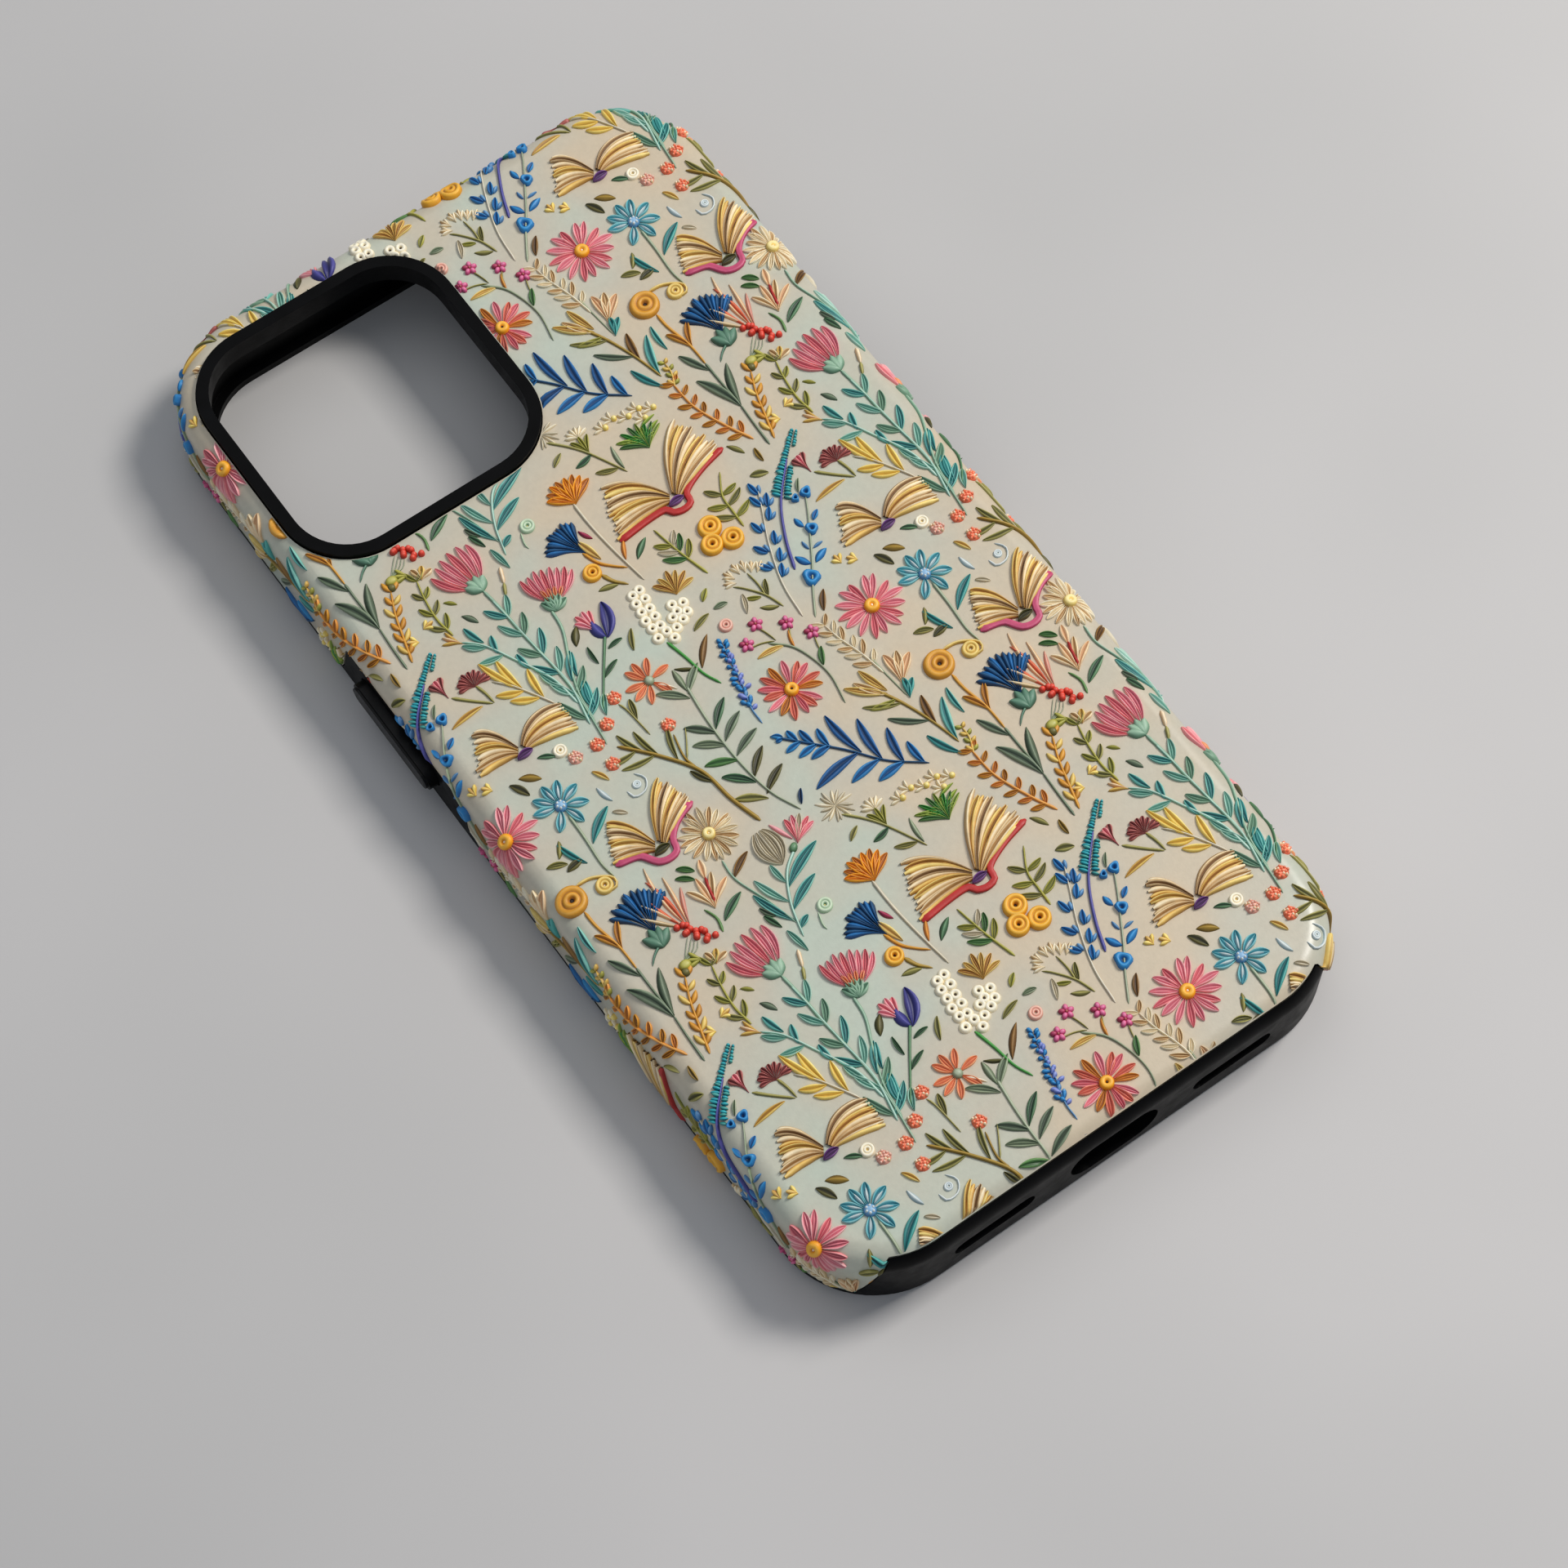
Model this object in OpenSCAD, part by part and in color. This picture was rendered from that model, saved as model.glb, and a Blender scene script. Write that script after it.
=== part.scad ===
// Two-layer phone case: hard outer shell over a soft inner liner with a raised
// camera surround, three button covers and a charging-port opening.
// Lies on its front lip: X across, +Y to the camera end, +Z to the back. Units: mm.

/* [Phone] */
// width of the phone the case holds
phone_w = 71.5; // [68:0.5:78]
// length of the phone
phone_l = 146.7; // [144:0.5:162]
// thickness of the phone
phone_t = 7.65; // [7.4:0.05:8.4]
// plan corner radius of the phone
phone_r = 10.3; // [9:0.1:11.5]
// play between phone and liner on each side
fit_gap = 0.2; // [0.1:0.05:0.4]

/* [Inner liner] */
// thickness of the liner's side walls
liner_wall = 1.4; // [1.3:0.05:1.8]
// thickness of the liner's back plate
liner_back = 1.2; // [1:0.1:1.6]
// height of the lip that stands round the screen
lip_h = 1.2; // [1.2:0.1:1.6]
// how far the lip reaches over the front of the phone
lip_over = 1.0; // [0.8:0.1:1.6]
// rounding under the lip's outer edge
lip_round = 0.6; // [0.4:0.1:0.6]

/* [Outer shell] */
// thickness of the shell's side walls
shell_wall = 1.1; // [0.9:0.05:1.4]
// thickness of the shell's back plate
shell_back = 1.25; // [1:0.05:1.6]
// clearance between shell and liner
layer_gap = 0.15; // [0.12:0.01:0.2]
// rounding of the outer back edge
edge_round = 3; // [2.6:0.1:3.4]
// gap between the shell's rim and the lip below it
rim_gap = 0.15; // [0.1:0.05:0.3]

/* [Camera surround] */
// width of the surround over its outside
cam_w = 36.4; // [30:0.1:37.4]
// length of the surround over its outside
cam_l = 36.6; // [30:0.1:38]
// outer corner radius of the surround
cam_r = 9.5; // [8.5:0.1:11]
// width of the surround's flat rim
cam_rim = 1.6; // [1.4:0.1:2.4]
// height of the surround above the shell's back
cam_proud = 0.7; // [0.3:0.1:1.6]
// distance from the case's side to the surround
cam_side = 2.3; // [1.7:0.1:4]
// distance from the case's top end to the surround
cam_top = 3.6; // [3.1:0.1:5]

/* [Buttons] */
// distance from the case's top end to the middle of the side button
side_btn_at = 59.2; // [56:0.1:64]
// length of the side button cover
side_btn_len = 17; // [14:0.5:18]
// distance from the top end to the middle of the volume-up cover
vol_up_at = 50; // [49:0.1:51]
// distance from the top end to the middle of the volume-down cover
vol_dn_at = 63.5; // [63:0.1:66]
// length of each volume cover
vol_btn_len = 9.6; // [8:0.2:10]
// height of the button covers
btn_h = 3.4; // [2.8:0.1:3.8]
// how far the side button cover stands out from the shell's side
side_btn_proud = 1.6; // [0.6:0.1:1.8]
// how far the volume covers stand out from the shell's side
vol_btn_proud = 0.8; // [0.6:0.1:1]
// how far each cover can be pressed in
btn_travel = 0.4; // [0.2:0.05:0.45]
// distance from the top end to the middle of the switch slot
switch_at = 36.8; // [36:0.1:38]
// length of the switch slot
switch_len = 7.6; // [6:0.2:8]
// height of the switch slot
switch_h = 3.8; // [3:0.1:3.9]

/* [Bottom end] */
// width of the charging-port opening
port_w = 12.8; // [11:0.1:14]
// height of the charging-port opening
port_h = 6.4; // [5.5:0.1:6.6]
// length of the two sound slots
sound_w = 11.6; // [9:0.1:13]
// height of the sound slots
sound_h = 2.8; // [2:0.1:3.2]
// distance from the middle to each sound slot's middle
sound_x = 17.5; // [16:0.1:19]

/* [Smoothness] */
// facets on a full circle
facets = 72; // [48:4:96]

/* [Hidden] */
$fn = facets;
eps = 0.01;
side_wall = liner_wall + layer_gap + shell_wall;            // whole wall, phone to outside
cav_w = phone_w + 2 * fit_gap;
cav_l = phone_l + 2 * fit_gap;
cav_r = phone_r + fit_gap;
case_w = cav_w + 2 * side_wall;
case_l = cav_l + 2 * side_wall;
case_r = cav_r + side_wall;
cav_top = lip_h + phone_t + 0.15;                           // inside face of the back plate
liner_top = cav_top + liner_back;
shell_under = liner_top + layer_gap;
case_top = shell_under + shell_back;                        // the shell's back
cam_top_z = case_top + cam_proud;
shell_in = shell_wall;                                      // inset of the shell's inner face
liner_in = shell_wall + layer_gap;                          // inset of the liner's outer face
shell_low = lip_h + rim_gap;                                // the shell's rim
cam_x = -case_w / 2 + cam_side + cam_w / 2;
cam_y = case_l / 2 - cam_top - cam_l / 2;
mid_z = lip_h + phone_t / 2 + 0.05;                         // middle of the phone's sides
side_y = case_l / 2 - side_btn_at;
up_y = case_l / 2 - vol_up_at;
dn_y = case_l / 2 - vol_dn_at;
switch_y = case_l / 2 - switch_at;
cut_gap = 0.16;                                             // play round each boss in its cut-out
btn_gap = 0.16;                                             // play round each button cover
btn_in = 0.65;                                              // inside face of a cover, out from the cavity wall
flange_t = 0.45;
side_cut_z = case_top - edge_round - 0.2;                   // top of the shell's side cut-outs
end_cut_z = case_top - 0.85;                                // top of the shell's bottom-end cut-out
s_left = 22.4 / 2;                                          // half-length of the left cut-out's straight part
r_hi = switch_y + switch_len / 2 + 2.4;                     // right cut-out, towards the camera end
r_lo = dn_y - vol_btn_len / 2 - 3;                          // right cut-out, towards the port end

// ---- 2-D helpers ----
module rrect(w, l, r) {
  union() {
    square([w - 2 * r, l], center = true);
    square([w, l - 2 * r], center = true);
    for (sx = [-1, 1], sy = [-1, 1]) translate([sx * (w / 2 - r), sy * (l / 2 - r)]) circle(r);
  }
}

// half-width profile whose top outer corner is rounded
module edge_profile(x, h, e) {
  union() {
    square([x - e, h]);
    square([x, h - e]);
    translate([x - e, h - e]) circle(e);
  }
}

// both halves of the same profile
module bar_profile(w, h, e) {
  union() {
    translate([-(w / 2 - e), 0]) square([w - 2 * e, h]);
    translate([-w / 2, 0]) square([w, h - e]);
    for (s = [-1, 1]) translate([s * (w / 2 - e), h - e]) circle(e);
  }
}

// a cut-out with a flat top and S-shaped ends that is open below
function s_curve(x0, x1, z0, z1, n = 10) =
  [for (i = [0 : n]) let (t = i / n) [x0 + (x1 - x0) * t, z0 + (z1 - z0) * t * t * (3 - 2 * t)]];

module s_gate(x0, x1, run0, run1, z0, z1, grow = 0) {
  polygon(concat([[x0 - run0 - grow, -2]],
                 s_curve(x0 - run0 - grow, x0 - grow, z0, z1 + grow),
                 s_curve(x1 + grow, x1 + run1 + grow, z1 + grow, z0),
                 [[x1 + run1 + grow, -2]]));
}

// ---- solids ----
// rounded-rectangle block whose top outer edge is rounded all the way round
module slab(w, l, h, r, e) {
  union() {
    translate([0, l / 2 - r, 0]) rotate([90, 0, 0]) linear_extrude(l - 2 * r) bar_profile(w, h, e);
    translate([-(w / 2 - r), 0, 0]) rotate([90, 0, 90]) linear_extrude(w - 2 * r) bar_profile(l, h, e);
    for (k = [0 : 3]) {
      cx = (k == 0 || k == 3) ? 1 : -1;
      cy = k < 2 ? 1 : -1;
      translate([cx * (w / 2 - r), cy * (l / 2 - r), 0])
        rotate([0, 0, 90 * k]) rotate_extrude(angle = 90) edge_profile(r, h, e);
    }
  }
}

module prism(w, l, r, z0, z1) {
  translate([0, 0, z0]) linear_extrude(z1 - z0) rrect(w, l, r);
}

module inset_prism(d, z0, z1) {
  prism(case_w - 2 * d, case_l - 2 * d, case_r - d, z0, z1);
}

module outer_slab() {
  slab(case_w, case_l, case_top, case_r, edge_round);
}

// S-shaped gates through the port end and through each long side
module end_gate(grow) {
  translate([0, -case_l / 2 + 7, 0]) rotate([90, 0, 0])
    linear_extrude(10) s_gate(-31, 31, 4.2, 4.2, 1.2, end_cut_z, grow);
}

module left_gate(grow) {
  translate([-case_w / 2 - 3, side_y, 0]) rotate([90, 0, 90])
    linear_extrude(6) s_gate(-s_left, s_left, 6, 2.4, 1.2, side_cut_z, grow);
}

module right_gate(grow) {
  translate([case_w / 2 - 3, 0, 0]) rotate([90, 0, 90])
    linear_extrude(6) s_gate(r_lo, r_hi, 6, 2.4, 1.2, side_cut_z, grow);
}

// oval bar lying along Y, its axis across X
module y_bar(x0, x1, yc, zc, len, h) {
  translate([x0, yc, zc]) rotate([90, 0, 90]) linear_extrude(x1 - x0) union() {
    square([len - h, h], center = true);
    for (s = [-1, 1]) translate([s * (len - h) / 2, 0]) circle(h / 2);
  }
}

// oval opening through the port end
module end_slot(xc, w, h) {
  translate([xc, -case_l / 2 - 1, mid_z]) rotate([-90, 0, 0]) linear_extrude(side_wall + 2) union() {
    square([w - h, h], center = true);
    for (s = [-1, 1]) translate([s * (w - h) / 2, 0]) circle(h / 2);
  }
}

// window for one button cover on the +X side, with a pocket for its flange
module cover_window(yc, len) {
  y_bar(cav_w / 2 - 0.5, case_w / 2 + 1, yc, mid_z, len + 2 * btn_gap, btn_h + 2 * btn_gap);
  y_bar(cav_w / 2 - 0.5, cav_w / 2 + btn_in + flange_t + 0.1, yc, mid_z,
        len + 1.2 + 2 * btn_gap, btn_h + 1.2 + 2 * btn_gap);
}

module cover(yc, len, proud) {
  y_bar(cav_w / 2 + btn_in, cav_w / 2 + btn_in + flange_t, yc, mid_z, len + 1.2, btn_h + 1.2);
  y_bar(cav_w / 2 + btn_in + flange_t - 0.05, case_w / 2 + proud - 0.35, yc, mid_z, len, btn_h);
  y_bar(case_w / 2 + proud - 0.4, case_w / 2 + proud, yc, mid_z, len - 0.7, btn_h - 0.7);
}

// ---- parts ----
module outer_shell() {
  color([0.86, 0.84, 0.78])
  difference() {
    outer_slab();
    translate([0, 0, -1]) slab(case_w - 2 * shell_in, case_l - 2 * shell_in, shell_under + 1,
                               case_r - shell_in, edge_round - shell_in);
    translate([0, 0, -1]) linear_extrude(shell_low + 1) square([case_w + 4, case_l + 4], center = true);
    translate([cam_x, cam_y, 0]) prism(cam_w + 2 * cut_gap, cam_l + 2 * cut_gap, cam_r + cut_gap, 5, 20);
    difference() {
      union() {
        end_gate(cut_gap);
        left_gate(cut_gap);
        right_gate(cut_gap);
      }
      inset_prism(shell_in, -3, 20);
    }
  }
}

module inner_liner() {
  color([0.05, 0.05, 0.055])
  difference() {
    union() {
      // lip and flange under the shell's rim
      translate([0, 0, lip_h]) mirror([0, 0, 1]) slab(case_w, case_l, lip_h, case_r, lip_round);
      // walls and back plate
      translate([0, 0, lip_round]) slab(case_w - 2 * liner_in, case_l - 2 * liner_in, liner_top - lip_round,
           case_r - liner_in, edge_round - liner_in);
      // bosses that fill the shell's cut-outs
      intersection() {
        translate([0, 0, lip_round]) slab(case_w, case_l, case_top - lip_round, case_r, edge_round);
        union() {
          difference() {
            end_gate(0);
            inset_prism(shell_in - 0.16, -3, 20);
          }
          difference() {
            union() {
              end_gate(0);
              left_gate(0);
              right_gate(0);
            }
            translate([0, 0, side_cut_z]) linear_extrude(10) square([case_w + 4, case_l + 4], center = true);
            inset_prism(liner_in + 0.7, -3, 20);
          }
        }
      }
      // raised camera surround
      translate([cam_x, cam_y, 0]) prism(cam_w, cam_l, cam_r, cav_top + 0.2, cam_top_z);
    }
    prism(cav_w, cav_l, cav_r, lip_h, cav_top);
    prism(phone_w - 2 * lip_over, phone_l - 2 * lip_over, phone_r - lip_over, -1, lip_h + 1);
    translate([cam_x, cam_y, 0]) prism(cam_w - 2 * cam_rim, cam_l - 2 * cam_rim, cam_r - cam_rim, cav_top - 1, 20);
    end_slot(0, port_w, port_h);
    end_slot(-sound_x, sound_w, sound_h);
    end_slot(sound_x, sound_w, sound_h);
    y_bar(cav_w / 2 - 0.5, case_w / 2 + 1, switch_y, mid_z, switch_len, switch_h);
    cover_window(up_y, vol_btn_len);
    cover_window(dn_y, vol_btn_len);
    mirror([1, 0, 0]) cover_window(side_y, side_btn_len);
  }
}

module side_button_cover() {
  color([0.05, 0.05, 0.055])
  mirror([1, 0, 0]) cover(side_y, side_btn_len, side_btn_proud);
}

module volume_up_cover() {
  color([0.05, 0.05, 0.055])
  cover(up_y, vol_btn_len, vol_btn_proud);
}

module volume_down_cover() {
  color([0.05, 0.05, 0.055])
  cover(dn_y, vol_btn_len, vol_btn_proud);
}

outer_shell();
inner_liner();
side_button_cover();
volume_up_cover();
volume_down_cover();
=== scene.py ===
import math

import bpy
import numpy as np
from mathutils import Matrix, Vector


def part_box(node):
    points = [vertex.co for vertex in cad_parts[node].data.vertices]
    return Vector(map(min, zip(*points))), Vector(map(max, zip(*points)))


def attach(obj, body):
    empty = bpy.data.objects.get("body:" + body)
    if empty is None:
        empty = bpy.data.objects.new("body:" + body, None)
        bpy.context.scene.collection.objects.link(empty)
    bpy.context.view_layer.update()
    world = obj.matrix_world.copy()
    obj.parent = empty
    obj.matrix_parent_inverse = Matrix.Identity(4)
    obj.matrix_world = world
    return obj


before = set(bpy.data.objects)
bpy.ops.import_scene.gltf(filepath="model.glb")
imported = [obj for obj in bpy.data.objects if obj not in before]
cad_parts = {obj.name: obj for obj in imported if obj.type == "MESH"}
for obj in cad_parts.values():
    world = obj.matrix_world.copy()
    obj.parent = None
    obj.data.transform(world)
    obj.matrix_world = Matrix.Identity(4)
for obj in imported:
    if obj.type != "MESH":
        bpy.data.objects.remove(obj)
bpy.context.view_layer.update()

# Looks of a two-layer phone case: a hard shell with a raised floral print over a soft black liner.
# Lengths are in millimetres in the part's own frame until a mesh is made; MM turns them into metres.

MM = 0.001
SHELL_LOW, SHELL_HIGH = (np.array(c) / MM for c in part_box("outer_shell"))
_, LINER_HIGH = (np.array(c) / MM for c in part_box("inner_liner"))

HALF_W, HALF_L = LINER_HIGH[0], LINER_HIGH[1]      # half the case's width and length
BACK_Z, RIM_Z = SHELL_HIGH[2], SHELL_LOW[2]        # the shell's back and its lower rim
CORNER, EDGE = 13.0, 3.0                           # plan corner radius, rounding of the back edge
FLAT_W, FLAT_L, FLAT_R = HALF_W - EDGE, HALF_L - EDGE, CORNER - EDGE
CAM_HALF = (18.2, 18.3)                            # the camera surround, half its width and length
CAM_SIDE, CAM_TOP = 2.3, 3.6                       # how far it is in from the long side and the camera end
CAM_AT = (-HALF_W + CAM_SIDE + CAM_HALF[0], HALF_L - CAM_TOP - CAM_HALF[1])
CAM_R, PLAY = 9.5, 0.16                            # its corner radius, the play round it and round each boss
SIDE_CUT_Z, END_CUT_Z = BACK_Z - EDGE - 0.2, BACK_Z - 0.85  # top edges of the cut-outs
SIDE_BUTTON_AT, SIDE_REACH = 59.2, 11.2            # left cut-out: its middle, and half its length
VOLUME_AT, SWITCH_AT = 63.5, 36.8                  # right cut-out: volume-down and switch from the camera end
VOLUME_REACH, SWITCH_REACH = 7.8, 6.2              # how far it goes on beyond them
LEFT_CUT = (HALF_L - SIDE_BUTTON_AT - SIDE_REACH, HALF_L - SIDE_BUTTON_AT + SIDE_REACH)
RIGHT_CUT = (HALF_L - VOLUME_AT - VOLUME_REACH, HALF_L - SWITCH_AT + SWITCH_REACH)
SIDE_RUNS, END_RUNS = (6, 2.4), (4.2, 4.2)         # lengths of the S-shaped ends of each cut-out
END_CUT = 31.0                                     # half the end cut-out's flat length
SKIN = 0.12                                        # bare shell left beside the surround and above the rim
MARGIN = 0.1                                       # bare shell left round each cut-out
TILE_W, TILE_L = 54.2, 62.7                        # the print repeats at this pitch
PRINT_AT = (0.6, -0.4)                             # where the print's own origin lies

rng = np.random.default_rng(7)


# ---------------------------------------------------------------- print surface
def smooth(x):
    x = np.clip(x, 0.0, 1.0)
    return x * x * (3 - 2 * x)


def gate_height(along, lo, hi, run_lo, run_hi, top):
    """Height of a cut-out's edge: flat at top from lo to hi, with S-shaped ends down to the rim."""
    up = smooth((along - (lo - run_lo - PLAY)) / run_lo)
    down = smooth(((hi + run_hi + PLAY) - along) / run_hi)
    return RIM_Z + (top + PLAY - RIM_Z) * np.minimum(up, down)


def wrap_frame(u, v):
    """For points of the unrolled print: the outward direction, and the distance beyond the flat back."""
    px, py = np.abs(u) - (FLAT_W - FLAT_R), np.abs(v) - (FLAT_L - FLAT_R)
    su, sv = np.where(u < 0, -1.0, 1.0), np.where(v < 0, -1.0, 1.0)
    corner = (px > 0) & (py > 0)
    reach = np.hypot(px, py)
    safe = np.maximum(reach, 1e-9)
    nx = np.where(corner, su * px / safe, np.where(px > py, su, 0.0))
    ny = np.where(corner, sv * py / safe, np.where(px > py, 0.0, sv))
    d = np.where(corner, reach, np.maximum(px, py)) - FLAT_R
    return nx, ny, d


def drop_of(z):
    """How far beyond the flat back the shell's outside is at height z."""
    return np.where(z > BACK_Z - EDGE,
                    EDGE * np.arccos(np.clip((z - (BACK_Z - EDGE)) / EDGE, -1, 1)),
                    EDGE * math.pi / 2 + (BACK_Z - EDGE) - z)


def wrap(u, v, h):
    """Lays print points (u, v, height) on the shell, and says how far each is inside the printed area."""
    outside = None
    for _ in range(2):  # the second pass works on points already pushed out of the camera window
        nx, ny, d = wrap_frame(u, v)
        over = np.maximum(d, 0.0)
        turn = np.minimum(over / EDGE, math.pi / 2)
        x = u - nx * over + nx * EDGE * np.sin(turn)
        y = v - ny * over + ny * EDGE * np.sin(turn)
        cx, cy = x - CAM_AT[0], y - CAM_AT[1]
        wx, wy = np.abs(cx) - (CAM_HALF[0] - CAM_R), np.abs(cy) - (CAM_HALF[1] - CAM_R)
        ring = np.hypot(np.maximum(wx, 0), np.maximum(wy, 0)) + np.minimum(np.maximum(wx, wy), 0)
        ring = ring - CAM_R - PLAY - SKIN
        away = np.maximum(np.hypot(np.maximum(wx, 0), np.maximum(wy, 0)), 1e-9)
        gx = np.where((wx > 0) | (wy > 0), np.maximum(wx, 0) / away, (wx > wy) * 1.0) * np.sign(cx)
        gy = np.where((wx > 0) | (wy > 0), np.maximum(wy, 0) / away, (wx <= wy) * 1.0) * np.sign(cy)
        if outside is None:
            outside = ring
            push = np.where(ring < 0, -ring, 0.0)
            u, v = u + gx * push, v + gy * push
    floor = np.full_like(u, RIM_Z + SKIN)
    left = gate_height(y, *LEFT_CUT, *SIDE_RUNS, SIDE_CUT_Z)
    right = gate_height(y, *RIGHT_CUT, *SIDE_RUNS, SIDE_CUT_Z)
    end = gate_height(x, -END_CUT, END_CUT, *END_RUNS, END_CUT_Z)
    floor = np.where(nx < -0.7, np.maximum(floor, left + MARGIN), floor)
    floor = np.where(nx > 0.7, np.maximum(floor, right + MARGIN), floor)
    floor = np.where((ny < 0) & (v < -HALF_L + 7), np.maximum(floor, end + MARGIN), floor)
    limit = drop_of(floor)
    inside = np.minimum(outside, limit - d)
    over = np.clip(d, 0.0, limit)
    h = np.where(h > 0, h * smooth(inside / 0.35), h)
    turn = np.minimum(over / EDGE, math.pi / 2)
    fall = np.maximum(over - EDGE * math.pi / 2, 0.0)
    flat = np.maximum(d, 0.0)
    x = u - nx * flat + nx * (EDGE + h) * np.sin(turn)
    y = v - ny * flat + ny * (EDGE + h) * np.sin(turn)
    z = BACK_Z - EDGE + (EDGE + h) * np.cos(turn) - fall
    return np.stack([x, y, z], -1), inside


# ---------------------------------------------------------------- raised shapes
# A shape is a grid of points (u, v, height, painted shading). Its section runs across it: offset, height and
# painted shading, each as a share of the shape's own width, height and colour range; the painted shading is
# painted shade in the hollows and a painted highlight on the rims.
DOME = np.array([(-1, -.2, .3), (-.93, .35, .45), (-.7, .75, .65), (-.35, .95, .85), (0, 1, 1),
    (.35, .95, .85), (.7, .75, .65), (.93, .35, .45), (1, -.2, .3)])
CUP = np.array([(-1, -.2, .6), (-.96, .7, .9), (-.84, 1, 1), (-.68, .8, .8), (-.48, .25, .12), (-.18, .18, 0),
    (-.05, .6, .6), (.08, .6, .6), (.2, .18, 0), (.48, .25, .12), (.68, .8, .8), (.84, 1, 1), (.96, .7, .9),
    (1, -.2, .6)])
CREASE = np.array([(-1, -.2, .6), (-.94, .6, .9), (-.72, 1, 1), (-.4, .85, .55), (-.1, .3, .05), (.1, .25, 0),
    (.4, .8, .4), (.72, .95, .75), (.94, .55, .8), (1, -.2, .5)])
FOLD = np.array([(-1, -.2, .25), (-.94, .2, .4), (-.5, .6, .6), (-.06, .97, 1), (.06, 1, 1), (.5, .55, .45),
    (.94, .2, .3), (1, -.2, .2)])
BAND = np.array([(-1, -.2, .5), (-.94, .8, .8), (-.7, 1, 1), (0, .9, .8), (.7, 1, 1), (.94, .8, .8),
    (1, -.2, .5)])

LEAN, SLIM = 0.9, 0.78  # how slender leaves and stalks are

inks = {}


def add_grid(ink, points, closed=False):
    """Keeps one shape's grid of points under the name of its colour."""
    rows, cols = points.shape[:2]
    i, j = np.meshgrid(np.arange(rows - 1), np.arange(cols if closed else cols - 1), indexing="ij")
    k = (j + 1) % cols
    faces = np.stack([i * cols + j, (i + 1) * cols + j, (i + 1) * cols + k, i * cols + k], -1).reshape(-1, 4)
    inks.setdefault(ink, []).append((points.reshape(-1, 4), faces))


def curve(points, n):
    """n points evenly spaced along a smooth line through points."""
    p = np.array(points, float)
    if len(p) == 2:
        return p[0] + (p[1] - p[0]) * np.linspace(0, 1, n)[:, None]
    ends = np.vstack([2 * p[0] - p[1], p, 2 * p[-1] - p[-2]])
    t = np.linspace(0, 1, 12)[:, None]
    line = np.vstack([0.5 * ((2 * b) + (c - a) * t + (2 * a - 5 * b + 4 * c - d) * t ** 2 + (3 * b - a
        - 3 * c + d) * t ** 3) for a, b, c, d in zip(ends, ends[1:], ends[2:], ends[3:])])
    gone = np.concatenate([[0], np.cumsum(np.hypot(*np.diff(line, axis=0).T))])
    at = np.linspace(0, gone[-1], n)
    return np.stack([np.interp(at, gone, line[:, 0]), np.interp(at, gone, line[:, 1])], -1)


def ribbon(ink, path, width, height, section, lift=0.0, painted_shading=(1.0, 1.0)):
    """A raised strip along path. width and height hold a value for each point of the path."""
    along = np.gradient(path, axis=0)
    along /= np.maximum(np.hypot(*along.T), 1e-9)[:, None]
    side = np.stack([-along[:, 1], along[:, 0]], -1)
    offset, rise, shade = section.T
    uv = path[:, None] + side[:, None] * (width[:, None] * offset / 2)[..., None]
    h = height[:, None] * rise + np.where(rise > 0, lift, 0)
    # Painted shading along the strip: painted shade in the section's hollows, painted highlight on its rims,
    # scaled along the length, with a random shift for each shape.
    t = np.linspace(*painted_shading, len(path))[:, None] * (shade + rng.uniform(-.1, .1))
    add_grid(ink, np.concatenate([uv, h[..., None], t[..., None]], -1))


def leaf(ink, x, y, angle, length, width, section=CREASE, bend=0.0, high=0.42, tip=0.55, lift=0.0, n=13):
    """A leaf or petal with its foot at (x, y). tip places its widest part, 0 at the foot to 1 at the end."""
    a = math.radians(angle)
    go, side = np.array([math.cos(a), math.sin(a)]), np.array([-math.sin(a), math.cos(a)])
    s = (1 - np.cos(np.linspace(0, math.pi, n))) / 2
    path = np.array([x, y]) + go * (s * length)[:, None] + side * (bend * length * 4 * s * (1 - s))[:, None]
    power = math.log(0.5) / math.log(tip)
    shape = np.sin(math.pi * np.clip(s ** power, 0, 1)) ** 0.8
    # Painted shading scaled from 0.72 at the foot to 1 at the end, so each leaf is darker toward its foot.
    ribbon(ink, path, 0.06 + LEAN * width * shape, high * (0.25 + 0.75 * shape ** 0.5), section, lift,
        (0.72, 1.0))


def stem(ink, points, width=0.5, high=0.32, thin=0.6, section=DOME, lift=0.0):
    """A stalk through points, thinner at its last point."""
    reach = sum(math.dist(a, b) for a, b in zip(points, points[1:]))
    path = curve(points, max(5, int(reach / 0.55) + 2))
    s = np.linspace(0, 1, len(path))
    ends = np.minimum(1, np.minimum(s, 1 - s) * reach / 0.3 + 0.35)
    ribbon(ink, path, SLIM * width * (1 - (1 - thin) * s) * ends, high * ends, section, lift)


def lathe(ink, x, y, radius, profile, high, n=22, squash=1.0, angle=0.0, wobble=0.0, lobes=0):
    """A round shape. profile is (share of the radius, share of the height, painted shading) from its middle
    outward.
    """
    r, rise, shade = np.array(profile, float).T
    a = np.linspace(0, 2 * math.pi, n, endpoint=False)
    lobed = 0.16 * np.cos(lobes * a)[None] * r[:, None] if lobes else 0
    grow = 1 + wobble * np.sin(a + angle)[None] * r[:, None] + lobed
    dx, dy = radius * r[:, None] * grow * np.cos(a), radius * squash * r[:, None] * grow * np.sin(a)
    c, s = math.cos(math.radians(angle)), math.sin(math.radians(angle))
    flat = np.ones_like(dx)
    add_grid(ink, np.stack([x + c * dx - s * dy, y + s * dx + c * dy, high * rise[:, None] * flat,
        shade[:, None] * flat], -1)[:, ::-1], closed=True)


# Round profiles, from the middle outward: share of the radius, share of the height, and painted shading, a
# painted highlight on the tops and painted shade at the edges and in the grooves.
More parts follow.
